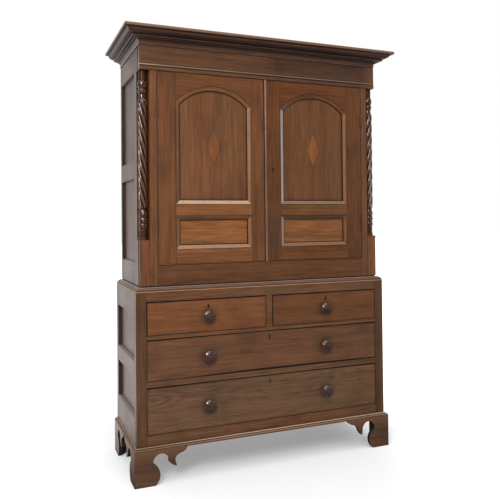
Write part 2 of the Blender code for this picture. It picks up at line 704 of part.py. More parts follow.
def make_drawer(name, x, floor, height, knobs):
    """A drawer: front with keyhole, dovetailed box, and turned knobs, on its slide."""
    slide = pivot(name + "_slide", ((x[0] + x[1]) / 2, at(LOWER_DEPTH), floor + height / 2))
    front_x = (x[0] + DRAWER_GAP, x[1] - DRAWER_GAP)
    front_z = (floor + DRAWER_GAP / 2, floor + height - DRAWER_TOP_GAP)
    inner_face = LOWER_DEPTH - FRONT_THICKNESS
    front = board(name + "_front", front_x, (inner_face, LOWER_DEPTH), front_z, 0.001)
    box_z = (floor + FIT, front_z[1] - BOX_BELOW_FRONT)
    shoulder = at(inner_face - FIT)
    tail_z = (box_z[0], box_z[1])
    tails = tail_shapes(tail_z, shoulder, at(inner_face + TAIL_LENGTH), 0)
    sockets = tail_shapes(tail_z, at(inner_face - 0.001), at(inner_face + TAIL_LENGTH + FIT), FIT)
    box = None
    for end, inward, side_name in ((front_x[0], 1, "left"), (front_x[1], -1, "right")):
        outer = end + inward * FIT
        inner = outer + inward * LINING
        outline = [(at(BOX_FROM_BACK), box_z[0]), (shoulder, box_z[0])]
        for tail in tails:
            outline += tail
        outline += [(shoulder, box_z[1]), (at(BOX_FROM_BACK), box_z[1])]
        side = extruded(name + "_side_" + side_name, [outline], (outer, inner), "side")
        socket_span = (end - inward * 0.002, inner + inward * FIT)
        cut(front, extruded(name + "_sockets_" + side_name, sockets, socket_span, "side"))
        if box is None:
            box = side
            box.name = name + "_box"
        else:
            fuse(box, side)
    let_in = LINING - 0.004
    between = (front_x[0] + FIT + let_in, front_x[1] - FIT - let_in)
    bottom_z = (box_z[0] + DRAWER_BOTTOM_RISE, box_z[0] + DRAWER_BOTTOM_RISE + DRAWER_BOTTOM)
    fuse(box, board(name + "_bottom", between, (BOX_FROM_BACK + 0.002, inner_face - FIT), bottom_z))
    fuse(box, board(name + "_rear", between, (BOX_FROM_BACK, BOX_FROM_BACK + LINING),
                    (bottom_z[0] - 0.002, box_z[1] - 0.006)))
    key_z = floor + height - KEYHOLE_DROP
    key_x = (x[0] + x[1]) / 2
    cut(front, keyhole(name + "_keyhole", key_x, key_z, LOWER_DEPTH, FRONT_THICKNESS))
    for i, knob_x in enumerate(knobs):
        knob_z = floor + height / 2 - KNOB_DROP
        bore = hole(name + "_knob_hole_" + str(i), SPIGOT_RADIUS + FIT, knob_x, knob_z,
                    LOWER_DEPTH - FRONT_THICKNESS / 2, FRONT_THICKNESS + 0.004)
        cut(front, bore)
        suffix = "" if len(knobs) == 1 else ("_left", "_right")[i]
        make_knob(name + "_knob" + suffix, knob_x, knob_z, slide)
    keep(front, "oak", slide)
    keep(box, "lining_wood", slide)


def make_knob(name, x, z, slide):
    """A turned knob: hub, groove, dished face, rim, neck and the spigot in the drawer front."""
    r = KNOB_RADIUS
    p = KNOB_PROJECTION
    profile = [(0, p), (0.20 * r, 0.985 * p), (0.30 * r, 0.93 * p), (0.36 * r, 0.90 * p),
               (0.52 * r, 0.885 * p), (0.66 * r, 0.80 * p), (0.74 * r, 0.68 * p),
               (0.80 * r, 0.64 * p), (0.95 * r, 0.58 * p), (1.00 * r, 0.46 * p),
               (0.95 * r, 0.34 * p), (0.62 * r, 0.22 * p), (0.50 * r, 0.12 * p),
               (0.56 * r, FIT), (SPIGOT_RADIUS, FIT), (SPIGOT_RADIUS, -SPIGOT_LENGTH),
               (0, -SPIGOT_LENGTH)]
    facing = Matrix.Rotation(pi / 2, 4, "X")
    knob = turned(name, profile, KNOB_STEPS, Matrix.Translation((x, at(LOWER_DEPTH), z)) @ facing)
    keep(knob, "turned_wood", slide)


def make_cupboard_shell(lift):
    z = (CUPBOARD_BOTTOM, CUPBOARD_TOP)
    floor_top = OPENING_BOTTOM - FLOOR_BELOW_RAIL
    ceiling = CUPBOARD_TOP - CEILING_BELOW_TOP
    boards = {
        "upper_floor": (floor_top - SHELF_THICKNESS, floor_top),
        "shelf_lower": (floor_top + LOWER_SHELF_RISE, floor_top + LOWER_SHELF_RISE + SHELF_THICKNESS),
        "shelf_upper": (floor_top + UPPER_SHELF_RISE, floor_top + UPPER_SHELF_RISE + SHELF_THICKNESS),
        "upper_ceiling": (ceiling - SHELF_THICKNESS, ceiling),
    }
    rails = (UPPER_SIDE_BOTTOM_RAIL, UPPER_SIDE_PANEL, UPPER_SIDE_MIDDLE_RAIL,
             UPPER_SIDE_TOP_RAIL)
    side_depth = RECESS_BACK - FIT
    for side, side_name in ((-1, "left"), (1, "right")):
        name = "upper_side_" + side_name
        piece = panelled_side(name, side, UPPER_WIDTH / 2, UPPER_SIDE_THICKNESS, side_depth, z,
                              UPPER_REAR_STILE, UPPER_FRONT_STILE, rails, UPPER_PANEL_SUNK)
        for board_name, board_z in boards.items():
            housing(piece, name + "_" + board_name, side, UPPER_INSIDE, board_z,
                    POST_BACK + FIT)
        keep(piece, "oak", lift)
    end = UPPER_INSIDE + HOUSING - FIT
    rear = BACK_THICKNESS + FIT
    front = POST_BACK - FIT
    for name in ("shelf_lower", "shelf_upper"):
        keep(board(name, (-end, end), (rear, front), boards[name]), "lining_wood", lift)
    between_posts = DOORWAY - FIT
    behind_rail = CUPBOARD_FRONT_INSIDE - FIT
    for name, half in (("upper_floor", between_posts), ("upper_ceiling", RECESS_INSIDE - 0.005)):
        outline = [(-end, at(rear)), (end, at(rear)), (end, at(front)), (half, at(front)),
                   (half, at(behind_rail)), (-half, at(behind_rail)), (-half, at(front)),
                   (-end, at(front))]
        keep(extruded(name, [outline], boards[name], "plan"), "lining_wood", lift)
    keep(back_boards("upper_back", UPPER_INSIDE - FIT, z), "lining_wood", lift)


def make_cupboard_front(lift):
    """Door posts with their rail, corner blocks, and the frieze that caps the columns."""
    z = (CUPBOARD_BOTTOM, OPENING_TOP - FIT)
    frame = None
    wing = UPPER_INSIDE - FIT
    for side, side_name in ((-1, "left"), (1, "right")):
        outline = [(side * DOORWAY, at(POST_BACK)), (side * wing, at(POST_BACK)),
                   (side * wing, at(RECESS_BACK - FIT)),
                   (side * RECESS_INSIDE, at(RECESS_BACK - FIT)),
                   (side * RECESS_INSIDE, at(UPPER_DEPTH)), (side * DOORWAY, at(UPPER_DEPTH))]
        post = extruded("post_" + side_name, [outline], z, "plan")
        if frame is None:
            frame = post
            frame.name = "upper_front_frame"
        else:
            fuse(frame, post)
    into_post = DOORWAY + 0.010
    fuse(frame, board("upper_front_rail", (-into_post, into_post),
                      (CUPBOARD_FRONT_INSIDE, UPPER_DEPTH - 0.00001),
                      (CUPBOARD_BOTTOM + 0.00001, OPENING_BOTTOM)))
    for side, side_name in ((-1, "left"), (1, "right")):
        for z_middle, level in hinge_heights():
            cut(frame, leaf_seat("post_seat_" + side_name + "_" + level, side, z_middle,
                                 DOORWAY, DOORWAY + LEAF_THICKNESS / 2 + FIT))
        make_block("corner_block_" + side_name, side, lift)
    keep(frame, "oak", lift)
    make_frieze(lift)


def make_block(name, side, lift):
    """A square block with a thin lipped cap, which the column stands on."""
    inner = RECESS_INSIDE + FIT
    outer = UPPER_WIDTH / 2
    body_top = BLOCK_TOP - BLOCK_CAP
    levels = ((0, CUPBOARD_BOTTOM), (0, body_top), (BLOCK_LIP, body_top + BLOCK_LIP),
              (BLOCK_LIP, BLOCK_TOP - BLOCK_LIP / 2), (BLOCK_LIP / 2, BLOCK_TOP))
    rings = []
    for lip, height in levels:
        rings.append([(side * inner, at(RECESS_BACK), height),
                      (side * inner, at(UPPER_DEPTH + lip), height),
                      (side * (outer + lip), at(UPPER_DEPTH + lip), height),
                      (side * (outer + lip), at(RECESS_BACK), height)])
    keep(loft(name, rings), "oak", lift)


def make_frieze(lift):
    """Frieze with a lip and a bead; its ends are solid over the columns, its middle a board."""
    bottom = OPENING_TOP
    profile = ((FRIEZE_LIP, 0.0), (FRIEZE_LIP, 0.0165), (0.0008, 0.0195), (0.0008, 0.0215),
               (0.0040, 0.0235), (0.0048, 0.0260), (0.0036, 0.0290), (FRIEZE_PROUD, 0.0302),
               (FRIEZE_PROUD, FRIEZE_HEIGHT))
    levels = [(UPPER_WIDTH / 2 + out, UPPER_DEPTH + out, bottom + up) for out, up in profile]
    frieze = moulded_board("frieze", levels, RECESS_BACK)
    past = 0.01
    pocket = RECESS_INSIDE - 0.0047
    cut(frieze, board("frieze_pocket", (-pocket, pocket), (RECESS_BACK - past, CUPBOARD_FRONT_INSIDE),
                      (bottom - past, CUPBOARD_TOP + past)))
    keep(frieze, "oak", lift)


def make_cornice(lift):
    """Cornice: cavetto, bead, ovolo, soffit and square fillet, mitred, round an open well."""
    out_x = CORNICE_WIDTH / 2 - UPPER_WIDTH / 2
    out_y = CORNICE_DEPTH - UPPER_DEPTH
    cavetto = [(0.365 - 0.340 * cos(radians(a)), 0.03 + 0.40 * sin(radians(a))) for a in (0, 25, 50, 75, 90)]
    ovolo = [(0.440 + 0.350 * sin(radians(a)) ** 1.2, 0.80 - 0.25 * cos(radians(a)) ** 1.1)
             for a in (0, 30, 60, 90)]
    profile = [(0.025, 0.0)] + cavetto + [(0.410, 0.450), (0.430, 0.490), (0.410, 0.535)]
    profile += ovolo
    profile += [(1.0, 0.82), (1.0, 0.94), (0.98, 1.0)]
    levels = [(UPPER_WIDTH / 2 + out_x * out, UPPER_DEPTH + out_y * out,
               CORNICE_BOTTOM + CORNICE_HEIGHT * up) for out, up in profile]
    cornice = moulded_board("cornice", levels)
    past = 0.01
    well = UPPER_INSIDE
    cut(cornice, board("cornice_well", (-well, well), (FRAME_THICKNESS, CUPBOARD_FRONT_INSIDE),
                       (CORNICE_BOTTOM - past, CORNICE_BOTTOM + CORNICE_HEIGHT + past)))
    keep(cornice, "oak", lift)


def make_column(name, side, lift):
    """A turned column whose shaft is a twisted rope of strands, handed to its side."""
    top = OPENING_TOP - FIT
    foot = BLOCK_TOP + FIT
    shaft = (foot + COLUMN_FOOT, top - COLUMN_HEAD)
    ridge = COLUMN_RADIUS
    per_strand = 4
    count = STRANDS * per_strand
    section = []
    for i in range(count):
        turn = 2 * pi * i / count
        radius = ridge - STRAND_DEPTH * (0.5 - 0.5 * cos(STRANDS * turn))
        section.append((radius * cos(turn), radius * sin(turn), shaft[0]))
    length = shaft[1] - shaft[0]
    angle = side * 2 * pi * length / (STRANDS * STRAND_PITCH)
    placed = Matrix.Translation((side * COLUMN_X, at(COLUMN_DEPTH), 0))
    rope = screw_profile(name, section, angle, length, TWIST_STEPS, True)
    column = solid(rope, placed)
    head = [(0, top), (0.70, top), (0.70, top - 0.034), (0.64, top - 0.042), (0.86, top - 0.050),
            (0.93, top - 0.0655), (0.86, top - 0.081), (0.70, top - 0.085), (0.88, top - 0.090),
            (0.93, top - 0.0965), (0.88, top - 0.103), (0.66, top - 0.108), (0.62, top - 0.120),
            (0.74, shaft[1]), (0.50, shaft[1] - 0.006), (0, shaft[1] - 0.006)]
    base = [(0, shaft[0] + 0.006), (0.50, shaft[0] + 0.006), (0.72, shaft[0]),
            (0.74, foot + 0.1400), (0.76, foot + 0.1350), (1.00, foot + 0.1080),
            (0.84, foot + 0.1045), (0.86, foot + 0.0985), (1.00, foot + 0.0795),
            (0.84, foot + 0.0765), (0.86, foot + 0.0685), (0.95, foot + 0.0485),
            (0.81, foot + 0.0445), (0.79, foot + 0.0165), (0.93, foot + 0.0135),
            (0.93, foot), (0, foot)]
    for part, points in (("head", head), ("base", base)):
        profile = [(share * COLUMN_RADIUS, height) for share, height in points]
        fuse(column, turned(name + "_" + part, profile, COLUMN_SIDES, placed))
    keep(column, "turned_wood", lift)


def hinge_heights():
    return ((OPENING_TOP - HINGE_BELOW_TOP, "top"), (OPENING_BOTTOM + HINGE_ABOVE_BOTTOM, "bottom"))


def leaf_seat(name, side, z_middle, x_from, x_to):
    """The shallow seat that a hinge leaf is let into."""
    past = 0.004
    reach = sorted((side * x_from, side * x_to))
    if x_to > x_from:
        reach = sorted((side * (x_from - past), side * x_to))
    else:
        reach = sorted((side * (x_from + past), side * x_to))
    half = HINGE_LENGTH / 2 + FIT
    return board(name, reach, (UPPER_DEPTH - LEAF_WIDTH - FIT, UPPER_DEPTH + past),
                 (z_middle - half, z_middle + half))


def hinge_leaf(name, side, z_middle, leaf_x, knuckles, bored):
    """A flat leaf with a tongue to each of its knuckles, bored or carrying the pin."""
    half = HINGE_LENGTH / 2
    x = sorted((side * leaf_x[0], side * leaf_x[1]))
    leaf = board(name, x, (UPPER_DEPTH - LEAF_WIDTH, UPPER_DEPTH - FIT),
                 (z_middle - half, z_middle + half))
    for i, (low, high) in enumerate(knuckles):
        z = (z_middle + low, z_middle + high)
        fuse(leaf, board(name + "_tongue_" + str(i), x, (UPPER_DEPTH - 0.003, HINGE_DEPTH - 0.0008), z))
        fuse(leaf, cylinder(name + "_knuckle_" + str(i), KNUCKLE_RADIUS, z, side * HINGE_X, HINGE_DEPTH))
    if bored:
        bore = cylinder(name + "_bore", PIN_RADIUS + PIN_CLEARANCE,
                        (z_middle - half - 0.01, z_middle + half + 0.01), side * HINGE_X, HINGE_DEPTH)
        cut(leaf, bore)
    else:
        pin = cylinder(name + "_pin", PIN_RADIUS, (z_middle - half - 0.003, z_middle + half + 0.003),
                       side * HINGE_X, HINGE_DEPTH)
        fuse(leaf, pin)
    return leaf


def make_hinges(side, side_name, lift, axis):
    """Two butt hinges: the case leaf has the middle knuckle and the pin, the door leaf the ends."""
    third = HINGE_LENGTH / 3
    half = HINGE_LENGTH / 2
    play = FIT
    middle = ((-third / 2 + play, third / 2 - play),)
    ends = ((-half, -third / 2), (third / 2, half))
    post_face = (DOORWAY - LEAF_THICKNESS / 2, DOORWAY + LEAF_THICKNESS / 2)
    door_face = (DOOR_EDGE - LEAF_THICKNESS / 2, DOOR_EDGE + LEAF_THICKNESS / 2)
    for z_middle, level in hinge_heights():
        label = side_name + "_" + level
        keep(hinge_leaf("hinge_case_leaf_" + label, side, z_middle, post_face, middle, False),
             "brass", lift)
        keep(hinge_leaf("hinge_door_leaf_" + label, side, z_middle, door_face, ends, True),
             "brass", axis)


def arched_outline(inset, z):
    """Front view of the arched opening, drawn in by an inset: foot corners, then the round head."""
    inner_half = PANEL_HALF - MOULDING_WIDTH
    inner_top = z + ARCH_SPRING + ARCH_RISE
    radius = (inner_half ** 2 + ARCH_RISE ** 2) / (2 * ARCH_RISE)
    centre = inner_top - radius
    half = PANEL_HALF - inset
    radius += MOULDING_WIDTH - inset
    spread = asin(half / radius)
    steps = 14
    head = []
    for i in range(steps + 1):
        a = spread - 2 * spread * i / steps
        head.append((radius * sin(a), centre + radius * cos(a)))
    return [(-half, z + inset), (half, z + inset)] + head


def oblong_outline(inset, z):
    half = PANEL_HALF - inset
    top = z + OBLONG_PANEL - inset
    return [(-half, z + inset), (half, z + inset), (half, top), (-half, top)]


def opening_rings(outline, z, middle, profile):
    """Rings of a cutter or a panel: profile gives (inset, depth behind the door's face)."""
    rings = []
    for inset, behind in profile:
        rings.append([(middle + x, at(UPPER_DEPTH - behind), height) for x, height in outline(inset, z)])
    return rings


def moulding_profile():
    """From the door's face down an ovolo to the panel, as (inset, depth behind the face)."""
    width = MOULDING_WIDTH
    depth = MOULDING_DEPTH
    return ((0, -0.010), (0, 0.0012), (0.12 * width, 0.0014), (0.42 * width, 0.26 * depth),
            (0.68 * width, 0.60 * depth), (0.80 * width, 0.92 * depth), (width, depth),
            (width, PANEL_SEAT + 0.001))


def make_door(side, side_name, lift):
    """A framed door: moulded openings, panels seated from behind, inlay, hinges and lock."""
    axis = pivot("door_" + side_name + "_axis", (side * HINGE_X, at(HINGE_DEPTH), OPENING_BOTTOM), lift)
    seam = -SEAM_FROM_MIDDLE + side * MEETING_GAP / 2
    x = sorted((side * DOOR_EDGE, seam))
    name = "door_" + side_name
    frame = board(name + "_frame", x, (UPPER_DEPTH - DOOR_THICKNESS, UPPER_DEPTH),
                  (DOOR_BOTTOM, DOOR_TOP), 0.001)
    middle = side * PANEL_MIDDLE
    oblong_z = DOOR_BOTTOM + DOOR_BOTTOM_RAIL
    arched_z = oblong_z + OBLONG_PANEL + DOOR_MIDDLE_RAIL
    seat_inset = MOULDING_WIDTH - PANEL_REBATE
    for label, outline, z in (("oblong_panel", oblong_outline, oblong_z),
                              ("arched_panel", arched_outline, arched_z)):
        cut(frame, loft(name + "_" + label + "_opening",
                        opening_rings(outline, z, middle, moulding_profile())))
        rebate = ((seat_inset, PANEL_SEAT), (seat_inset, DOOR_THICKNESS + 0.01))
        cut(frame, loft(name + "_" + label + "_rebate", opening_rings(outline, z, middle, rebate)))
        slab = ((seat_inset + FIT, PANEL_SEAT + FIT), (seat_inset + FIT, PANEL_SEAT + PANEL_THICKNESS))
        panel = loft(name + "_" + label, opening_rings(outline, z, middle, slab))
        if label == "arched_panel":
            make_inlay(name + "_inlay", panel, middle, z + DIAMOND_RISE, axis)
        keep(panel, "oak", axis)
    for z_middle, level in hinge_heights():
        cut(frame, leaf_seat(name + "_seat_" + level, side, z_middle, DOOR_EDGE,
                             DOOR_EDGE - LEAF_THICKNESS / 2 - FIT))
    make_hinges(side, side_name, lift, axis)
    if side > 0:
        key_z = OPENING_BOTTOM + DOOR_KEYHOLE_RISE
        cut(frame, keyhole(name + "_keyhole", DOOR_KEYHOLE_X, key_z, UPPER_DEPTH, DOOR_THICKNESS))
        make_meeting_bead(seam, axis)
        make_lock(key_z, axis)
    keep(frame, "oak", axis)


def make_inlay(name, panel, x, z, axis):
    """A diamond of paler wood let into the panel's face."""
    face = UPPER_DEPTH - PANEL_SEAT - FIT
    rings = []
    for grow, sink in ((0, 0.0), (0, INLAY_THICKNESS), (FIT, INLAY_THICKNESS), (FIT, -INLAY_CUTTER_PAST)):
        wide = DIAMOND_WIDTH / 2 + grow
        tall = DIAMOND_HEIGHT / 2 + 2 * grow
        place = at(face - sink)
        rings.append([(x - wide, place, z), (x, place, z - tall), (x + wide, place, z), (x, place, z + tall)])
    keep(loft(name, [rings[0], [(a, b - FIT, c) for a, b, c in rings[1]]]), "pale_inlay", axis)
    cut(panel, loft(name + "_seat", rings[2:]))


def make_meeting_bead(seam, axis):
    """A half-round strip planted on the right door's meeting edge."""
    middle = seam + BEAD_WIDTH / 2
    face = UPPER_DEPTH + FIT
    half = BEAD_WIDTH / 2
    outline = [(middle - half, at(face)), (middle + half, at(face))]
    for a in (0, 30, 60, 90, 120, 150, 180):
        turn = radians(a)
        outline.append((middle + half * cos(turn), at(face + 0.0012 + (BEAD_HEIGHT - 0.0012) * sin(turn))))
    keep(extruded("door_right_bead", [outline], (DOOR_BOTTOM, DOOR_TOP), "plan"), "oak", axis)


def make_lock(key_z, axis):
    """The iron lock on the inside of the right door, behind its keyhole."""
    rear = UPPER_DEPTH - DOOR_THICKNESS - FIT
    left = DOOR_KEYHOLE_X - LOCK_WIDTH * 0.6
    lock = board("door_lock", (left, left + LOCK_WIDTH), (rear - LOCK_DEPTH, rear),
                 (key_z - LOCK_HEIGHT / 2, key_z + LOCK_HEIGHT / 2), 0.001)
    keep(lock, "iron", axis)


def main():
    make_base()
    make_lower_case()
    for row in drawer_rows():
        make_drawer(*row)
    lift = pivot("upper_case_lift", (0, 0, CUPBOARD_BOTTOM))
    make_cupboard_shell(lift)
    make_cupboard_front(lift)
    make_cornice(lift)
    for side, side_name in ((-1, "left"), (1, "right")):
        make_column("column_" + side_name, side, lift)
        make_door(side, side_name, lift)


clear_scene()
PARTS = collection("two_part_cupboard")
CUTTERS = collection("cutters")
main()
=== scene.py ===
"""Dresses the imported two-part cupboard: wood, brass and iron finishes, and the carved and moulded pieces.

Everything is in metres, in the CAD's own frame: the front faces -Y and the floor is Z 0.
"""
from math import cos, pi, radians, sin

import bmesh
import bpy
import numpy as np
from mathutils import Matrix, Vector


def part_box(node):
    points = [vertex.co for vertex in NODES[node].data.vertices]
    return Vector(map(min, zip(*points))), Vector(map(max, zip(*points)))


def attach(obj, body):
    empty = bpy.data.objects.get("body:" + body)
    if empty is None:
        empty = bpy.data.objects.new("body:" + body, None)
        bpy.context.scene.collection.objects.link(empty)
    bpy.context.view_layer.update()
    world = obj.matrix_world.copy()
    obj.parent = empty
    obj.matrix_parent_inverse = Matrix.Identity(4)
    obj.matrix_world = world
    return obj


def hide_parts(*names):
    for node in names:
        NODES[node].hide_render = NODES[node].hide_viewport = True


bl_info = {
    "name": "Two-part cupboard",
    "version": (1, 0, 0),
    "blender": (4, 5, 0),
    "location": "3D View > Sidebar > Cupboard",
    "description": "Finishes and turned, carved and moulded pieces of a two-part oak cupboard",
    "category": "Object",
}

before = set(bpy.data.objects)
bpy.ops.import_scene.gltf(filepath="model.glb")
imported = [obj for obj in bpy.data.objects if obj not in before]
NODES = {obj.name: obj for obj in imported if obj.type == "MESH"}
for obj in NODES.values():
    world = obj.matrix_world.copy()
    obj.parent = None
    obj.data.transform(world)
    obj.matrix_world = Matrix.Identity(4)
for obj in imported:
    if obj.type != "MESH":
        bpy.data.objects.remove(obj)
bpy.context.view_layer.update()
SIDES = (("left", -1), ("right", 1))

# Axes, and the ways that a face can look
X, Y, Z = 0, 1, 2
DOWN = (0, 0, -1)
UP = (0, 0, 1)
FORWARD = (0, -1, 0)
LEFT = (-1, 0, 0)
RIGHT = (1, 0, 0)


def span(node):
    """Lowest and highest corner of a CAD node as two numpy arrays."""
    low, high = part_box(node)
    return np.array(low), np.array(high)


def width_of(node):
    """Width of a CAD node across the front."""
    low, high = span(node)
    return float(high[X] - low[X])


# Places that the mouldings start from: the back, half the upper case's width, and both front faces
BACK = span("lower_side_left")[1][Y]
UPPER_HALF = span("upper_side_right")[1][X]
UPPER_FACE = span("upper_front_frame")[0][Y]
LOWER_FACE = span("lower_front_frame")[0][Y]

# The boards of the frieze and corner blocks, and the groove behind those of the front
BOARD_THICKNESS = 0.024
GROOVE = 0.0140
GROOVE_DEPTH = 0.0080
FRIEZE_END_THICKNESS = 0.0507

# The cornice is open in the middle, and this thick over the sides
CORNICE_THICKNESS = 0.026

# The arched heads of the doors: their rise and the points along each curve
ARCH_RISE = 0.072
ARCH_STEPS = 33

# The doors' mouldings: how deep their foot is, where they end, and how far a panel goes under them
MOULDING_FOOT = 0.0100
MOULDING_REAR = 0.0124
PANEL_UNDER = 0.0067

# The gap between stiles and rails on either side of a joint, and the wear on the rails' edges
JOINT_GAP = 0.00012
RAIL_ROUNDING = 0.0004

# Relief kept on a mesh for each metre that a point stands out of its surroundings
RELIEF_SCALE = 1200

# Carved leaves round each collar of a column, and the collars as (height over the foot, own height)
LEAVES = 9
COLLARS = ((0.046, 0.028), (0.0755, 0.026), (0.104, 0.030))

# Each end of a column that is left without varnish
DULL_END = 0.0440

# Reeds of a knob: their depth as a share of its radius, and what they add to its relief
REED_DEPTH = 0.022
REED_RELIEF = 30
KNOBS = ("drawer_short_left_knob", "drawer_short_right_knob", "drawer_middle_knob_left",
         "drawer_middle_knob_right", "drawer_bottom_knob_left", "drawer_bottom_knob_right")

# Grain of each drawer front: its rings per metre, oval figure and how dark the rings are
DRAWER_GRAIN = {"short_left": (60, 3.0, 0.10), "short_right": (60, 3.0, 0.10), "middle": (50, 5.0, 0.10),
                "bottom": (46, 13.0, 0.30)}

# Open width beside a drawer or door front
CLEARANCE = 0.0015

# Framed sides: the widths of their front and rear posts, and the depth past which all is panel
SIDE_POSTS = {"lower": (0.015, 0.042), "upper": (0.058, 0.024)}
PANEL_SUNK = 0.010

# Soot for dirt, and for painted shade in hollows, at edges and between parts, and the black of painted shade
# in an open gap
SOOT_AND_SHADE = (0.012, 0.007, 0.005, 1)
OPEN_GAP = (0.004, 0.003, 0.002, 1)

# Keyholes as (x, z), and half the width and height of their slots
KEY_SLOT = (0.0012, 0.0060)
DOOR_KEY = (0.0370, 1.4334)
DRAWER_KEYS = {"short_left": (-0.311, 0.784), "short_right": (0.311, 0.784), "middle": (0.0, 0.617),
               "bottom": (0.0, 0.403)}


def measure(name, description, default):
    """A size in metres that a user can change."""
    return bpy.props.FloatProperty(name=name, description=description, default=default, unit="LENGTH",
                                   subtype="DISTANCE")


class CupboardSizes(bpy.types.PropertyGroup):
    """Sizes of the turned, carved and moulded pieces"""
    knob_radius: measure("Knob radius", "Radius of a turned knob at its rim",
                         width_of("drawer_middle_knob_left") / 2)
    reeds: bpy.props.IntProperty(
        name="Reeds", description="Reeds round the rim of each knob", default=20, min=6, max=40)
    strands: bpy.props.IntProperty(
        name="Strands", description="Strands twisted round each column", default=6, min=2, max=12)
    strand_pitch: measure("Strand pitch", "Height from one strand to the next", 0.064)
    strand_depth: measure("Groove depth", "Depth of the grooves between strands", 0.0062)
    leaf_relief: measure("Leaf relief", "How far the carved leaves stand up", 0.0022)
    moulding_width: measure("Door moulding", "Width of the moulding round the door panels", 0.0225)
    edge_bead: measure("Edge bead", "Width of the bead along the outer edges of each door", 0.0056)
    edge_rounding: measure("Edge rounding", "Radius worn on the edges of the door frames", 0.0009)


def colour(name, description, default):
    """A colour that a user can change, in scene-linear values."""
    return bpy.props.FloatVectorProperty(name=name, description=description, default=default,
                                         subtype="COLOR", size=3, min=0.0, max=1.0)


class CupboardFinishes(bpy.types.PropertyGroup):
    """Colours of the woods and metals"""
    left_door: colour("Left door", "Stiles and rails of the left door", (0.121, 0.046, 0.016))
    right_door: colour("Right door", "Stiles and rails of the right door", (0.107, 0.038, 0.011))
    left_rail: colour("Left door rails", "Rails between the left door's panels", (0.166, 0.066, 0.023))
    right_rail: colour("Right door rails", "Rails between the right door's panels", (0.128, 0.053, 0.017))
    left_bottom_rail: colour("Left bottom rail", "The lowest rail of the left door", (0.165, 0.0625, 0.020))
    left_panel: colour("Left arched panel", "The tall panel of the left door", (0.141, 0.058, 0.022))
    right_panel: colour("Right arched panel", "The tall panel of the right door", (0.120, 0.049, 0.018))
    left_oblong: colour("Left oblong panel", "The low panel of the left door", (0.200, 0.076, 0.022))
    right_oblong: colour("Right oblong panel", "The low panel of the right door", (0.183, 0.072, 0.024))
    inlay: colour("Inlay", "Diamonds let into the arched panels", (0.188, 0.066, 0.018))
    meeting_bead: colour("Meeting bead", "The bead where the doors meet", (0.180, 0.088, 0.052))
    posts: colour("Posts", "Door posts and corner blocks", (0.133, 0.050, 0.018))
    front_rail: colour("Front rail", "Rail under the doors", (0.103, 0.040, 0.014))
    frieze: colour("Frieze", "The frieze board", (0.099, 0.044, 0.021))
    cornice: colour("Cornice", "Cornice mouldings", (0.085, 0.038, 0.021))
    waist: colour("Waist", "Mouldings between the two cases", (0.143, 0.052, 0.021))
    chest_frame: colour("Chest frame", "Front frame of the chest", (0.093, 0.042, 0.016))
    chest_rails: colour("Chest rails", "Level rails of the chest's front frame", (0.118, 0.052, 0.021))
    short_left_drawer: colour("Left short drawer", "Its front", (0.150, 0.053, 0.017))
    short_right_drawer: colour("Right short drawer", "Its front", (0.118, 0.043, 0.014))
    middle_drawer: colour("Middle drawer", "Its front", (0.116, 0.051, 0.023))
    bottom_drawer: colour("Bottom drawer", "Its front", (0.114, 0.058, 0.029))
    sides: colour("Sides", "Panelled sides of both cases", (0.100, 0.052, 0.034))
    feet: colour("Feet", "Bracket feet and base moulding", (0.087, 0.041, 0.022))
    turned: colour("Columns", "Turned and carved columns", (0.055, 0.020, 0.011))
    knobs: colour("Knobs", "Turned knobs of the drawers", (0.075, 0.040, 0.031))
    # worn also colours the painted highlight line beside the door's keyhole
    worn: colour("Worn edges", "Wood rubbed pale on ridges and edges", (0.290, 0.150, 0.075))
    lining: colour("Lining", "Inside boards, drawer boxes and backs", (0.230, 0.130, 0.065))
    brass: colour("Brass", "Hinge leaves and pins", (0.130, 0.080, 0.045))
    iron: colour("Iron", "The door lock", (0.060, 0.055, 0.050))


def sizes():
    """The sizes that a user can change."""
    return bpy.context.scene.cupboard_sizes


def finishes():
    """The colours that a user can change."""
    return bpy.context.scene.cupboard_finishes


class Nodes:
    """Adds nodes to one tree, with their inputs linked or set as they are made."""

    def __init__(self, tree):
        self.tree = tree

    def add(self, kind, inputs=None, **settings):
        """A node with its settings, and with each named or numbered input fed."""
        node = self.tree.nodes.new(kind)
        for setting, value in settings.items():
            setattr(node, setting, value)
        for key, value in (inputs or {}).items():
            self.feed(node.inputs[key], value)
        return node

    def feed(self, socket, value):
        """Links a socket when the value is one, and sets the value otherwise."""
        if isinstance(value, bpy.types.NodeSocket):
            self.tree.links.new(value, socket)
        else:
            socket.default_value = value

    def math(self, operation, a, b=0.0, c=0.0, clamp=False):
        """One step of arithmetic on up to three numbers."""
        node = self.add("ShaderNodeMath", {0: a, 1: b, 2: c}, operation=operation, use_clamp=clamp)
        return node.outputs[0]

    def mix(self, factor, a, b, blend="MIX"):
        """Two colours blended."""
        node = self.add("ShaderNodeMix", {0: factor, 6: a, 7: b}, data_type="RGBA", blend_type=blend)
        return node.outputs[2]

    def ramp(self, value, low, high, to_low=0.0, to_high=1.0):
        """A smooth step from one number to another as the value goes from low to high."""
        node = self.add("ShaderNodeMapRange", {0: value, 1: low, 2: high, 3: to_low, 4: to_high},
                        interpolation_type="SMOOTHSTEP")
        return node.outputs[0]

    def stretch(self, vector, scale):
        """A place multiplied by its own scale on each axis."""
        node = self.add("ShaderNodeVectorMath", {0: vector, 1: scale}, operation="MULTIPLY")
        return node.outputs[0]

    def noise(self, vector, scale=1.0, detail=2.0, roughness=0.5):
        """Smooth noise between 0 and 1."""
        node = self.add("ShaderNodeTexNoise", {"Vector": vector, "Scale": scale, "Detail": detail,
                                               "Roughness": roughness})
        return node.outputs[0]


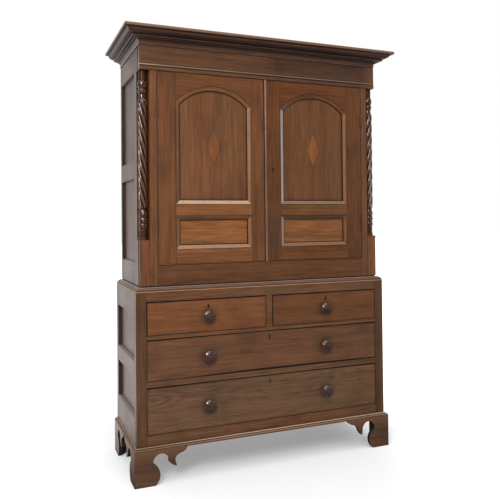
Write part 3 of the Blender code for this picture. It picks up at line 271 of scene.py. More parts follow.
def effect_group(name, inputs, outputs):
    """A shader node group with named sockets; returns its builder and its two end nodes."""
    group = bpy.data.node_groups.new(name, "ShaderNodeTree")
    for socket_name, kind, default in inputs:
        socket = group.interface.new_socket(name=socket_name, in_out="INPUT", socket_type=kind)
        if default is not None:
            socket.default_value = default
    for socket_name, kind in outputs:
        group.interface.new_socket(name=socket_name, in_out="OUTPUT", socket_type=kind)
    return Nodes(group), group.nodes.new("NodeGroupInput"), group.nodes.new("NodeGroupOutput")


FLOAT = "NodeSocketFloat"
COLOR = "NodeSocketColor"
VECTOR = "NodeSocketVector"


def make_grain_group():
    """Oak grain. The vector runs along, across and into the board, in metres.

    Streaks are noise stretched along the board; growth rings are thin dark lines where a sine
    across the board, bent by slow noise into long ovals, is near its top; flecks, fibres and
    open pores are finer stretched noise.
    """
    kit, start, end = effect_group(
        "oak_grain",
        (("Vector", VECTOR, None), ("Seed", FLOAT, 0.0), ("Base", COLOR, (0.15, 0.07, 0.03, 1)),
         ("Rings per Metre", FLOAT, 55.0), ("Oval Figure", FLOAT, 5.0), ("Contrast", FLOAT, 1.0),
         ("Ring Depth", FLOAT, 0.10)),
        (("Color", COLOR), ("Height", FLOAT), ("Sheen Mask", FLOAT)))
    seed = kit.add("ShaderNodeCombineXYZ", {0: start.outputs["Seed"], 1: start.outputs["Seed"],
                                            2: start.outputs["Seed"]})
    place = kit.add("ShaderNodeVectorMath", {0: start.outputs["Vector"], 1: seed.outputs[0]},
                    operation="ADD").outputs[0]
    parts = kit.add("ShaderNodeSeparateXYZ", {0: place})
    warp = kit.noise(kit.stretch(place, (1.6, 7.0, 7.0)), 1.0, 3.0, 0.55)
    across = kit.math("MULTIPLY", parts.outputs[1], start.outputs["Rings per Metre"])
    bent = kit.math("MULTIPLY_ADD", warp, start.outputs["Oval Figure"], across)
    ring = kit.ramp(kit.math("SINE", kit.math("MULTIPLY", bent, 2 * pi)), 0.25, 1.0)
    streak = kit.noise(kit.stretch(place, (0.6, 26.0, 26.0)), 1.0, 5.0, 0.62)
    patch = kit.noise(kit.stretch(place, (1.9, 4.2, 4.2)), 1.0, 2.0)
    fleck = kit.noise(kit.stretch(place, (8.0, 120.0, 120.0)), 1.0, 2.0, 0.55)
    fibre = kit.noise(kit.stretch(place, (9.0, 330.0, 330.0)), 1.0, 2.0, 0.6)
    pore = kit.ramp(kit.noise(kit.stretch(place, (26.0, 760.0, 760.0)), 1.0, 1.0), 0.60, 0.74)
    rings = kit.math("MULTIPLY", ring, start.outputs["Ring Depth"])
    tone = kit.math("MULTIPLY_ADD", kit.math("SUBTRACT", streak, 0.5), 1.4, kit.math("MULTIPLY", rings, -1.0))
    tone = kit.math("MULTIPLY_ADD", kit.math("SUBTRACT", patch, 0.5), 0.8, tone)
    tone = kit.math("MULTIPLY_ADD", kit.math("SUBTRACT", fleck, 0.5), 1.5, tone)
    tone = kit.math("MULTIPLY_ADD", kit.math("SUBTRACT", fibre, 0.5), 0.55, tone)
    tone = kit.math("MULTIPLY_ADD", pore, -0.28, tone)
    tone = kit.math("MULTIPLY_ADD", tone, kit.math("MULTIPLY", start.outputs["Contrast"], 0.55), 0.54,
                    clamp=True)
    dark = kit.mix(1.0, start.outputs["Base"], (0.30, 0.28, 0.32, 1), "MULTIPLY")
    light = kit.mix(1.0, start.outputs["Base"], (1.68, 1.70, 1.60, 1), "MULTIPLY")
    warmth = kit.noise(kit.stretch(place, (1.1, 6.0, 6.0)), 1.0, 2.0)
    shade = kit.mix(tone, dark, light)
    warm = kit.mix(1.0, shade, (1.09, 0.97, 0.90, 1), "MULTIPLY")
    shade = kit.mix(kit.ramp(warmth, 0.36, 0.68), shade, warm)
    kit.feed(end.inputs["Color"], shade)
    kit.feed(end.inputs["Height"], kit.math("MULTIPLY_ADD", pore, -0.8, kit.math("MULTIPLY", fibre, 0.5)))
    kit.feed(end.inputs["Sheen Mask"], kit.math("ADD", kit.math("MULTIPLY", patch, 0.5), pore))


def make_polish_group():
    """Old polish: slow smoky patches darken the wood, and its gloss goes up and down with them."""
    kit, start, end = effect_group(
        "old_polish",
        (("Color", COLOR, (0.5, 0.5, 0.5, 1)), ("Vector", VECTOR, None), ("Amount", FLOAT, 1.0),
         ("Roughness", FLOAT, 0.42), ("Sheen Mask", FLOAT, 0.5)),
        (("Color", COLOR), ("Roughness", FLOAT)))
    smoke = kit.noise(start.outputs["Vector"], 5.0, 4.0, 0.6)
    blot = kit.noise(start.outputs["Vector"], 19.0, 3.0, 0.55)
    dark = kit.math("MULTIPLY", kit.ramp(smoke, 0.45, 0.75), 0.30)
    dark = kit.math("MULTIPLY_ADD", kit.ramp(blot, 0.50, 0.78), 0.14, dark)
    dark = kit.math("MULTIPLY", dark, start.outputs["Amount"], clamp=True)
    shade = kit.mix(1.0, start.outputs["Color"], (0.28, 0.25, 0.26, 1), "MULTIPLY")
    kit.feed(end.inputs["Color"], kit.mix(dark, start.outputs["Color"], shade))
    uneven = kit.math("MULTIPLY_ADD", kit.math("SUBTRACT", smoke, 0.5), 0.20, start.outputs["Roughness"])
    uneven = kit.math("MULTIPLY_ADD", kit.math("SUBTRACT", start.outputs["Sheen Mask"], 0.4), 0.10, uneven)
    kit.feed(end.inputs["Roughness"], kit.math("MAXIMUM", uneven, 0.12))


def make_dirt_and_shade_group():
    """A dark halo round a place, for the dirt of hands, and round a knob also its painted shade: full at the
    centre, gone at the reach.
    """
    kit, start, end = effect_group(
        "hand_grime",
        (("Vector", VECTOR, None), ("Centre", VECTOR, (0, 0, 0)), ("Inner", FLOAT, 0.025),
         ("Reach", FLOAT, 0.09)),
        (("Mask", FLOAT),))
    away = kit.add("ShaderNodeVectorMath", {0: start.outputs["Vector"], 1: start.outputs["Centre"]},
                   operation="DISTANCE").outputs["Value"]
    uneven = kit.math("MULTIPLY_ADD", kit.noise(start.outputs["Vector"], 30.0, 2.0), 0.03, away)
    halo = kit.ramp(uneven, start.outputs["Inner"], start.outputs["Reach"], 1.0, 0.0)
    kit.feed(end.inputs["Mask"], halo)


def make_edge_group():
    """How near a place is to the rim of an upright rectangle, from inside or outside.

    The signed distance is the largest of the four distances beyond each edge; the mask is 1 up
    to the solid share of the reach on either side of the rim, and 0 past the reach.
    """
    kit, start, end = effect_group(
        "near_edge",
        (("Across", FLOAT, 0.0), ("Up", FLOAT, 0.0), ("Left", FLOAT, 0.0), ("Right", FLOAT, 1.0),
         ("Bottom", FLOAT, 0.0), ("Top", FLOAT, 1.0), ("Reach", FLOAT, 0.006), ("Solid", FLOAT, 0.0)),
        (("Mask", FLOAT),))
    beyond = None
    for above, below in (("Left", "Across"), ("Across", "Right"), ("Bottom", "Up"), ("Up", "Top")):
        gap = kit.math("SUBTRACT", start.outputs[above], start.outputs[below])
        beyond = gap if beyond is None else kit.math("MAXIMUM", beyond, gap)
    share = kit.math("DIVIDE", kit.math("ABSOLUTE", beyond), start.outputs["Reach"])
    kit.feed(end.inputs["Mask"], kit.ramp(share, start.outputs["Solid"], 1.0, 1.0, 0.0))


def make_joint_group():
    """Where two upright members meet the rails between them, as a mask and as two fine lines."""
    kit, start, end = effect_group(
        "framed_joint",
        (("Across", FLOAT, 0.0), ("Low Side", FLOAT, -0.5), ("High Side", FLOAT, 0.5),
         ("Line Width", FLOAT, 0.0012)),
        (("Upright", FLOAT), ("Line", FLOAT)))
    across = start.outputs["Across"]
    low, high = start.outputs["Low Side"], start.outputs["High Side"]
    below = kit.math("LESS_THAN", across, low)
    above = kit.math("GREATER_THAN", across, high)
    kit.feed(end.inputs["Upright"], kit.math("MAXIMUM", below, above))
    near = kit.math("MINIMUM", kit.math("ABSOLUTE", kit.math("SUBTRACT", across, low)),
                    kit.math("ABSOLUTE", kit.math("SUBTRACT", across, high)))
    line = kit.add("ShaderNodeMapRange", {0: near, 1: 0.0, 2: start.outputs["Line Width"], 3: 1.0, 4: 0.0})
    kit.feed(end.inputs["Line"], line.outputs[0])


def make_relief_group():
    """Painted shade and soot in the hollows, and ridges paled for wear and painted highlight, from the relief
    kept on a mesh: hollows are negative.
    """
    kit, start, end = effect_group(
        "hollows_and_ridges",
        (("Color", COLOR, (0.5, 0.5, 0.5, 1)), ("Relief", FLOAT, 0.0), ("Hollow", FLOAT, 0.8),
         ("Ridge", FLOAT, 0.25), ("Ridge Color", COLOR, (0.3, 0.15, 0.08, 1))),
        (("Color", COLOR),))
    hollow = kit.math("MULTIPLY", kit.ramp(start.outputs["Relief"], -0.08, -0.50), start.outputs["Hollow"])
    ridge = kit.math("MULTIPLY", kit.ramp(start.outputs["Relief"], 0.15, 0.80), start.outputs["Ridge"])
    shade = kit.mix(hollow, start.outputs["Color"], (0.010, 0.006, 0.005, 1))
    kit.feed(end.inputs["Color"], kit.mix(ridge, shade, start.outputs["Ridge Color"]))


def make_facing_group():
    """How squarely a face looks one way: 0 side on, 1 when it looks that way."""
    kit, start, end = effect_group(
        "facing",
        (("Normal", VECTOR, None), ("Direction", VECTOR, DOWN), ("From", FLOAT, 0.25),
         ("To", FLOAT, 0.8)),
        (("Mask", FLOAT),))
    turned = kit.add("ShaderNodeVectorMath", {0: start.outputs["Normal"], 1: start.outputs["Direction"]},
                     operation="DOT_PRODUCT").outputs["Value"]
    kit.feed(end.inputs["Mask"], kit.ramp(turned, start.outputs["From"], start.outputs["To"]))


def make_seam_group():
    """Painted shade of a gap along a level edge, whose width goes as width + slope x + bend x squared."""
    kit, start, end = effect_group(
        "dark_seam",
        (("Along", FLOAT, 0.0), ("Up", FLOAT, 0.0), ("Level", FLOAT, 0.0), ("Side", FLOAT, 1.0),
         ("Width", FLOAT, 0.001), ("Slope", FLOAT, 0.0), ("Bend", FLOAT, 0.0)),
        (("Mask", FLOAT),))
    along = start.outputs["Along"]
    width = kit.math("MULTIPLY_ADD", along, start.outputs["Slope"], start.outputs["Width"])
    bend = kit.math("MULTIPLY", kit.math("MULTIPLY", along, along), start.outputs["Bend"])
    width = kit.math("MAXIMUM", kit.math("ADD", width, bend), 0.0003)
    away = kit.math("SUBTRACT", start.outputs["Up"], start.outputs["Level"])
    away = kit.math("MULTIPLY", away, start.outputs["Side"])
    share = kit.math("DIVIDE", away, width)
    kit.feed(end.inputs["Mask"], kit.ramp(share, 1.15, 0.65))


def make_nail_group():
    """Round marks along a moulding: one in each stretch of the run, a little off its middle."""
    kit, start, end = effect_group(
        "nail_marks",
        (("Run", VECTOR, None), ("Spacing", FLOAT, 0.05), ("Height", FLOAT, 0.014),
         ("Radius", FLOAT, 0.0034)),
        (("Mask", FLOAT),))
    parts = kit.add("ShaderNodeSeparateXYZ", {0: start.outputs["Run"]})
    count = kit.math("DIVIDE", parts.outputs[0], start.outputs["Spacing"])
    stretch = kit.math("FLOOR", count)
    drawn = kit.add("ShaderNodeTexWhiteNoise", {"W": stretch}, noise_dimensions="1D").outputs["Value"]
    offset = kit.math("SUBTRACT", kit.math("FRACT", count), kit.math("MULTIPLY_ADD", drawn, 0.5, 0.25))
    offset = kit.math("MULTIPLY", offset, start.outputs["Spacing"])
    off_line = kit.math("SUBTRACT", parts.outputs[1], start.outputs["Height"])
    square = kit.math("MULTIPLY_ADD", off_line, off_line, kit.math("MULTIPLY", offset, offset))
    share = kit.math("DIVIDE", kit.math("SQRT", square), start.outputs["Radius"])
    kept = kit.ramp(drawn, 0.35, 0.45)
    kit.feed(end.inputs["Mask"], kit.math("MULTIPLY", kit.ramp(share, 1.0, 0.45), kept))


def use(kit, group, inputs):
    """One of the shared groups, placed in a material with its own values."""
    node = kit.add("ShaderNodeGroup", node_tree=bpy.data.node_groups[group])
    for key, value in inputs.items():
        kit.feed(node.inputs[key], value)
    return node


def paint(base):
    """A colour with full alpha."""
    return (base[0], base[1], base[2], 1.0)


def new_material(name):
    """A material with its node builder and its Principled shader."""
    material = bpy.data.materials.new(name)
    material.use_nodes = True
    kit = Nodes(material.node_tree)
    return material, kit, material.node_tree.nodes["Principled BSDF"]


# Which of X, Y and Z go along, across and into a board that runs in each direction
ORDER = {"x": (X, Z, Y), "z": (Z, X, Y), "y": (Y, Z, X)}


def along(kit, parts, direction):
    """The place re-ordered as along, across and into a board that runs in X, Y or Z."""
    a, b, c = ORDER[direction]
    return kit.add("ShaderNodeCombineXYZ", {0: parts.outputs[a], 1: parts.outputs[b],
                                            2: parts.outputs[c]}).outputs[0]


class Oak:
    """One wooden finish: a grain that follows the board, old polish, marks of use, and painted light and
    shade.
    """

    def __init__(self, name, base, direction="x", seed=0.0, roughness=0.40, rings=55.0, oval=4.0,
                 contrast=1.0, polish=1.0, uprights=None, uprights_axis=X, upright_base=None, sunk=None,
                 by_length=False, turns_corner=False, ring_depth=0.10):
        """Grain that runs in X, Y or Z, or along a carried moulding where by_length is set.

        uprights are the two joints past which the grain stands upright, on the uprights_axis, and
        there the colour is upright_base. sunk is the X past which a side's panels end and its frame
        begins, and turns_corner lets the grain run along Y on faces that look sideways.
        """
        self.material, self.kit, self.shader = new_material(name)
        kit = self.kit
        texture = kit.add("ShaderNodeTexCoord")
        self.place = texture.outputs["Object"]
        self.normal = texture.outputs["Normal"]
        self.parts = kit.add("ShaderNodeSeparateXYZ", {0: self.place})
        if by_length:
            grain_place = kit.add("ShaderNodeUVMap", uv_map="run").outputs[0]
        else:
            grain_place = along(kit, self.parts, direction)
        colour_in = paint(base)
        lines = []
        upright_place = along(kit, self.parts, "z")
        if uprights:
            across = self.parts.outputs[uprights_axis]
            joint = use(kit, "framed_joint", {"Across": across, "Low Side": uprights[0],
                                              "High Side": uprights[1]})
            grain_place = self.choose(joint.outputs["Upright"], grain_place, upright_place)
            colour_in = kit.mix(joint.outputs["Upright"], paint(base), paint(upright_base or base))
            lines.append(joint.outputs["Line"])
        if sunk is not None:
            inside = kit.math("LESS_THAN", kit.math("ABSOLUTE", self.parts.outputs[X]), sunk)
            grain_place = self.choose(inside, grain_place, upright_place)
        if turns_corner:
            sideways = kit.math("GREATER_THAN", kit.math("ABSOLUTE", kit.add(
                "ShaderNodeSeparateXYZ", {0: self.normal}).outputs[0]), 0.5)
            grain_place = self.choose(sideways, grain_place, along(kit, self.parts, "y"))
        grain = use(kit, "oak_grain", {"Vector": grain_place, "Seed": seed, "Base": colour_in,
                                       "Rings per Metre": rings, "Oval Figure": oval,
                                       "Contrast": contrast, "Ring Depth": ring_depth})
        self.height = grain.outputs["Height"]
        polish_node = use(kit, "old_polish", {"Color": grain.outputs["Color"], "Vector": grain_place,
                                              "Amount": polish, "Roughness": roughness,
                                              "Sheen Mask": grain.outputs["Sheen Mask"]})
        self.colour = polish_node.outputs["Color"]
        self.roughness = polish_node.outputs["Roughness"]
        for line in lines:
            self.darken(line, 0.75)

    def choose(self, mask, a, b):
        """The first place where the mask is 0 and the second where it is 1."""
        blend = self.kit.add("ShaderNodeMix", {0: mask, 4: a, 5: b}, data_type="VECTOR")
        return blend.outputs[1]

    def darken(self, mask, amount, to=SOOT_AND_SHADE):
        """Soot or shadow where the mask is: the colour goes dark and the surface matt."""
        share = self.kit.math("MULTIPLY", mask, amount)
        self.colour = self.kit.mix(share, self.colour, to)
        self.roughness = self.kit.math("MULTIPLY_ADD", share, 0.45, self.roughness)
        return self

    def lighten(self, mask, amount, to):
        """Another colour where the mask is, with the same gloss."""
        self.colour = self.kit.mix(self.kit.math("MULTIPLY", mask, amount), self.colour, paint(to))
        return self

    def off(self, axis, place):
        """Signed distance from a plane across one axis."""
        return self.kit.math("SUBTRACT", self.parts.outputs[axis], float(place))

    def near_rim(self, box, reach, solid):
        """A mask along the edges of an upright rectangle, given as a node's name or two corners."""
        low, high = span(box) if isinstance(box, str) else box
        edge = use(self.kit, "near_edge", {"Across": self.parts.outputs[X], "Up": self.parts.outputs[Z],
                                           "Left": low[X], "Right": high[X], "Bottom": low[Z],
                                           "Top": high[Z], "Reach": reach, "Solid": solid})
        return edge.outputs["Mask"]

    def rim(self, box, reach, amount, solid=0.0):
        """Darkens along the edges of an upright rectangle."""
        return self.darken(self.near_rim(box, reach, solid), amount)

    def facing(self, direction, begin, end):
        """A mask of the faces that look one way, from how squarely they do at its 0 and at its 1."""
        mask = use(self.kit, "facing", {"Normal": self.normal, "Direction": direction, "From": begin,
                                        "To": end})
        return mask.outputs["Mask"]

    def outlined(self, box, width, amount=0.90):
        """A crisp black gap line round a drawer or a door: painted shade in the gap."""
        return self.rim(box, width, amount, 0.4)

    def dust_and_sheen(self, direction, amount, to, begin=0.4, end=0.8):
        """Pale colour on the faces that look one way: painted sheen, highlight and lit face, and on some tops
        dust as well.
        """
        return self.lighten(self.facing(direction, begin, end), amount, to)

    def keyhole(self, x, z, depth=0.95):
        """A black slot for a key, painted shade in place of a cut hole, with the dirt of fingers round it."""
        half_width, half_height = KEY_SLOT
        slot = (x - half_width, 0.0, z - half_height), (x + half_width, 0.0, z + half_height)
        return self.rim(slot, 0.011, 0.35).rim(slot, 0.0034, depth, 0.4)

    def lock_mark(self, x, z):
        """A dark bar beside the keyhole, with a painted highlight along a line over it."""
        bar = (x + 0.0050, 0.0, z + 0.0030), (x + 0.0190, 0.0, z + 0.0040)
        lit = (x + 0.0030, 0.0, z + 0.0070), (x + 0.0190, 0.0, z + 0.0075)
        self.lighten(self.near_rim(lit, 0.0026, 0.2), 0.50, finishes().worn)
        return self.rim(bar, 0.0032, 0.85, 0.3)

    def lozenge(self, node, width=0.0022, amount=0.55):
        """A fine dark line round a diamond let into the board."""
        low, high = span(node)
        middle, half = (low + high) / 2, (high - low) / 2
        kit = self.kit
        total = -1.0
        for axis in (X, Z):
            away = kit.math("ABSOLUTE", self.off(axis, middle[axis]))
            total = kit.math("MULTIPLY_ADD", away, float(1 / half[axis]), total)
        reach = float(width * np.hypot(half[X], half[Z]) / (half[X] * half[Z]))
        return self.darken(kit.ramp(kit.math("ABSOLUTE", total), reach, 0.2 * reach), amount)

    def only_on(self, planes, amount=0.93):
        """Blackens all faces but those in the given planes, as (axis, place) pairs: painted shade, and on
        feet unfinished wood.
        """
        away = None
        for axis, place in planes:
            gap = self.kit.math("ABSOLUTE", self.off(axis, place))
            away = gap if away is None else self.kit.math("MINIMUM", away, gap)
        return self.darken(self.kit.ramp(away, 0.0006, 0.0018), amount)

    def halo_of_dirt_and_shade(self, centre, inner, reach, amount=0.5):
        """Dirt of hands round a place, and round a knob also the knob's painted shade."""
        dirt_and_shade = use(self.kit, "hand_grime", {"Vector": self.place, "Centre": centre, "Inner": inner,
                                             "Reach": reach})
        return self.darken(dirt_and_shade.outputs["Mask"], amount)

    def lines(self, low, high, light, dark, tint, share=None):
        """Painted highlight lines and painted shade in the quirks along a moulding, as (begin, end, amount).

        begin and end are shares of the height from low to high. The painted highlight lines take the tint,
        and where share is given, they are multiplied by it.
        """
        tall = high - low
        for begin, end, amount in light:
            mask = self.level(low + begin * tall, low + end * tall, 0.0010)
            if share is not None:
                mask = self.kit.math("MULTIPLY", mask, share)
            self.lighten(mask, amount, tint)
        for begin, end, amount in dark:
            self.darken(self.level(low + begin * tall, low + end * tall, 0.0007), amount)
        return self

    def cathedral(self, centre, half, rings, amount, light):
        """Nested oval rings round a place, as where a board is sawn through the root of a limb.

        Darkness is a sine of the oval distance from the centre, and fades out at the half sizes.
        """
        kit = self.kit
        across = kit.math("DIVIDE", self.off(X, centre[0]), half[0])
        up = kit.math("DIVIDE", self.off(Z, centre[1]), half[1])
        square = kit.math("MULTIPLY_ADD", across, across, kit.math("MULTIPLY", up, up))
        waver = kit.noise(kit.stretch(self.place, (3.0, 3.0, 12.0)), 1.0, 2.0)
        away = kit.math("MULTIPLY_ADD", waver, 0.55, kit.math("SQRT", square))
        wave = kit.math("SINE", kit.math("MULTIPLY", away, 2 * pi * rings))
        wave = kit.math("MULTIPLY_ADD", wave, 0.5, 0.5)
        inside = kit.ramp(away, 1.30, 0.95)
        self.lighten(inside, light, (0.20, 0.090, 0.035))
        return self.darken(kit.math("MULTIPLY", wave, inside), amount, (0.030, 0.014, 0.010, 1))

    def level(self, low, high, soft=0.0006):
        """A mask that is 1 between two heights."""
        height = self.parts.outputs[Z]
        return self.kit.math("MULTIPLY", self.kit.ramp(height, low - soft, low + soft),
                             self.kit.ramp(height, high + soft, high - soft))

    def between(self, direction, elsewhere, there, begin=0.3, end=0.7):
        """One amount on faces that look one way and another amount on all others."""
        mask = self.facing(direction, begin, end)
        return self.kit.math("MULTIPLY_ADD", mask, there - elsewhere, elsewhere)

    def carved(self, hollow, ridge, tint=None):
        """Painted shade and soot in the hollows, and paler ridges for wear and painted highlight, where the
        mesh carries its relief.
        """
        relief = self.kit.add("ShaderNodeAttribute", attribute_name="relief").outputs["Fac"]
        node = use(self.kit, "hollows_and_ridges", {
            "Color": self.colour, "Relief": relief, "Hollow": hollow, "Ridge": ridge,
            "Ridge Color": paint(tint or finishes().worn)})
        self.colour = node.outputs["Color"]
        return self

    def nailed(self, spacing=0.050, height=0.014, amount=0.65):
        """Small dark nail marks along a moulding, by the run kept in its UV map."""
        run = self.kit.add("ShaderNodeUVMap", uv_map="run").outputs[0]
        marks = use(self.kit, "nail_marks", {"Run": run, "Spacing": spacing, "Height": height})
        return self.darken(marks.outputs["Mask"], amount)

    def shaded(self, direction, amount, begin=0.25, end=0.8):
        """Painted shade on the faces that look one way, such as undersides and sawn edges."""
        return self.darken(self.facing(direction, begin, end), amount)

    def seam(self, level, side, width, slope=0.0, bend=0.0, amount=0.95, upright=False):
        """Painted shade of a gap on one side of a level, or of an upright line where upright is set."""
        a, b = (Z, X) if upright else (X, Z)
        mask = use(self.kit, "dark_seam", {"Along": self.parts.outputs[a], "Up": self.parts.outputs[b],
                                           "Level": level, "Side": side, "Width": width, "Slope": slope,
                                           "Bend": bend})
        return self.darken(mask.outputs["Mask"], amount, OPEN_GAP)

    def joints(self, low, high, width=0.0011, amount=0.75):
        """Fine dark lines where stiles and rails meet."""
        line = use(self.kit, "framed_joint", {"Across": self.parts.outputs[X], "Low Side": low,
                                              "High Side": high, "Line Width": width})
        return self.darken(line.outputs["Line"], amount)

    def seam_in_depth(self, front, width):
        """A dark joint line down the front edge of a side."""
        line = self.kit.ramp(self.off(Y, front), width, width * 0.5)
        return self.darken(line, 0.9)

    def grade(self, axis, start, end, at_start=0.0, at_end=1.0):
        """A share that goes from one number to another between two places on an axis."""
        return self.kit.ramp(self.parts.outputs[axis], start, end, at_start, at_end)

    def fade(self, axis, start, end, amount):
        """Painted shade that darkens little by little from one place to another, where the light falls off.
        """
        return self.darken(self.grade(axis, start, end), amount)

    def coat_on_rim(self, middle, radius, amount):
        """Varnish from a radius outwards round an axis that runs front to back."""
        out, up = self.off(X, middle[X]), self.off(Z, middle[Z])
        square = self.kit.math("MULTIPLY_ADD", out, out, self.kit.math("MULTIPLY", up, up))
        away = self.kit.math("SQRT", square)
        share = self.kit.math("MULTIPLY", self.kit.ramp(away, radius * 0.95, radius * 1.05), amount)
        self.kit.feed(self.shader.inputs["Coat Weight"], share)
        return self

    def coat_between(self, bottom, top, amount):
        """Varnish on the turned and carved length only, and none deep in the recess at the back."""
        share = self.kit.math("MULTIPLY", self.level(bottom, top, 0.002), amount)
        front = self.between((-0.5, 0.86, 0), 1.0, 0.05, -0.1, 0.45)
        share = self.kit.math("MULTIPLY", share, front)
        self.kit.feed(self.shader.inputs["Coat Weight"], share)
        return self

    def done(self, bump=0.25, coat=0.0, specular=0.38, coat_ior=1.5, coat_roughness=0.18):
        """Feeds the shader and returns the material; coat is for varnish that is the same all over."""
        bump_node = self.kit.add("ShaderNodeBump", {"Strength": bump, "Distance": 0.0006,
                                                    "Height": self.height})
        self.kit.feed(self.shader.inputs["Base Color"], self.colour)
        self.kit.feed(self.shader.inputs["Roughness"], self.roughness)
        self.kit.feed(self.shader.inputs["Normal"], bump_node.outputs[0])
        if coat:
            self.shader.inputs["Coat Weight"].default_value = coat
        self.shader.inputs["Coat Roughness"].default_value = coat_roughness
        self.shader.inputs["Coat IOR"].default_value = coat_ior
        self.shader.inputs["Specular IOR Level"].default_value = specular
        return self.material


def metal_finish(name, base, roughness, scale, dark, metallic=1.0):
    """Dulled metal: noise in patches takes the shine down and tarnishes the colour."""
    material, kit, shader = new_material(name)
    place = kit.add("ShaderNodeTexCoord").outputs["Object"]
    patch = kit.noise(place, scale, 3.0, 0.6)
    fine = kit.noise(place, scale * 9, 2.0, 0.6)
    tarnish = kit.ramp(patch, 0.35, 0.70)
    kit.feed(shader.inputs["Base Color"], kit.mix(tarnish, paint(base), paint(dark)))
    kit.feed(shader.inputs["Roughness"], kit.math("MULTIPLY_ADD", patch, 0.3, roughness))
    bump = kit.add("ShaderNodeBump", {"Strength": 0.2, "Distance": 0.0003, "Height": fine})
    kit.feed(shader.inputs["Normal"], bump.outputs[0])
    shader.inputs["Metallic"].default_value = metallic
    return material


def dress(node, material):
    """Puts a material on a CAD node that keeps its shape."""
    NODES[node].material_slots[0].material = material


def grid_quads(rows, columns, close_rows, close_columns):
    """Corner numbers of the quads of a grid, wrapped round in either direction, as whole arrays."""
    i = np.arange(rows if close_rows else rows - 1)
    j = np.arange(columns if close_columns else columns - 1)
    i, j = np.meshgrid(i, j, indexing="ij")
    ni = (i + 1) % rows
    nj = (j + 1) % columns
    quads = np.stack((i * columns + j, i * columns + nj, ni * columns + nj, ni * columns + j), axis=-1)
    return quads.reshape(-1, 4)


def surface(name, grid, close_rows, close_columns, caps=(), run=None, relief=None, smooth_angle=38):
    """A closed mesh from a grid of points; caps are lists of corner numbers of flat end faces.

    run, when given, is a grid of (length along, distance across) kept as the UV map of that name.
    relief is a grid of how far each point stands out of its surroundings, kept as an attribute.
    """
    rows, columns = grid.shape[:2]
    quads = grid_quads(rows, columns, close_rows, close_columns)
    mesh = bpy.data.meshes.new(name)
    mesh.from_pydata(grid.reshape(-1, 3).tolist(), [], quads.tolist() + [list(c) for c in caps])
    if run is not None:
        layer = mesh.uv_layers.new(name="run")
        corners = np.empty(len(mesh.loops), dtype=np.int32)
        mesh.loops.foreach_get("vertex_index", corners)
        values = run.reshape(-1, 2)[corners].astype(np.float32)
        layer.data.foreach_set("uv", values.ravel())
    if relief is not None:
        layer = mesh.attributes.new("relief", "FLOAT", "POINT")
        layer.data.foreach_set("value", relief.reshape(-1).astype(np.float32))
    bm = bmesh.new()
    bm.from_mesh(mesh)
    bmesh.ops.remove_doubles(bm, verts=bm.verts, dist=1e-6)
    bmesh.ops.recalc_face_normals(bm, faces=bm.faces)
    bm.to_mesh(mesh)
    bm.free()
    smooth(mesh, smooth_angle)
    made = bpy.data.objects.new(name, mesh)
    bpy.context.scene.collection.objects.link(made)
    return made


def smooth(mesh, angle):
    """Smooth shading, but for edges sharper than the angle."""
    mesh.polygons.foreach_set("use_smooth", np.ones(len(mesh.polygons), dtype=bool))
    mesh.set_sharp_from_angle(angle=radians(angle))


def place_on(piece, material, body, slot, *nodes):
    """Finishes a piece: its material, the body it rides on and what it replaces; slot is not used."""
    piece.data.materials.clear()
    piece.data.materials.append(material)
    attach(piece, body)
    if nodes:
        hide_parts(*nodes)


def lengths(points):
    """Distance along a line of points, from its first."""
    steps = np.linalg.norm(np.diff(points, axis=0), axis=1)
    return np.concatenate(([0.0], np.cumsum(steps)))


def run_grid(section, where):
    """(length along the path, length round the section) at every point of a carried section."""
    return np.stack(np.meshgrid(lengths(section), where, indexing="ij")[::-1], axis=-1)


def flat_ends(count, columns):
    """Corner numbers of the two flat ends of a closed section carried through some columns."""
    first = np.arange(count) * columns
    return [first, first[::-1] + columns - 1]


def arc(centre, radii, start, end, count):
    """Points (a, b) on an ellipse between two angles in degrees."""
    turn = np.radians(np.linspace(start, end, count))
    return np.stack((centre[0] + radii[0] * np.cos(turn), centre[1] + radii[1] * np.sin(turn)), axis=1)


def dense(points, step=0.0025):
    """The same line with points added, so that none is further than the step from the next."""
    gaps = lengths(points)
    places = np.unique(np.round(np.concatenate((gaps, np.arange(0.0, gaps[-1], step))), 6))
    return np.stack([np.interp(places, gaps, points[:, i]) for i in range(points.shape[1])], axis=1)


def relief_of(points, reach=0.004):
    """How far each point stands out of the same line smoothed over the reach, times the relief scale.

    The line is sampled every quarter millimetre and smoothed with a raised cosine; the
    difference is taken along the smoothed line's normal, so ridges are positive.
    """
    gaps = lengths(points)
    step = 0.00025
    fine = np.arange(0, gaps[-1], step)
    path = np.stack([np.interp(fine, gaps, points[:, i]) for i in (0, 1)], axis=1)
    width = int(reach / step)
    kernel = np.hanning(2 * width + 1)
    kernel /= kernel.sum()
    padded = np.pad(path, ((width, width), (0, 0)), mode="edge")
    soft = np.stack([np.convolve(padded[:, i], kernel, "valid") for i in (0, 1)], axis=1)
    slope = np.gradient(soft, axis=0)
    normal = np.stack((slope[:, 1], -slope[:, 0]), axis=1)
    normal /= np.maximum(np.linalg.norm(normal, axis=1, keepdims=True), 1e-9)
    out = ((path - soft) * normal).sum(axis=1)
    return np.interp(gaps, fine, out) * RELIEF_SCALE


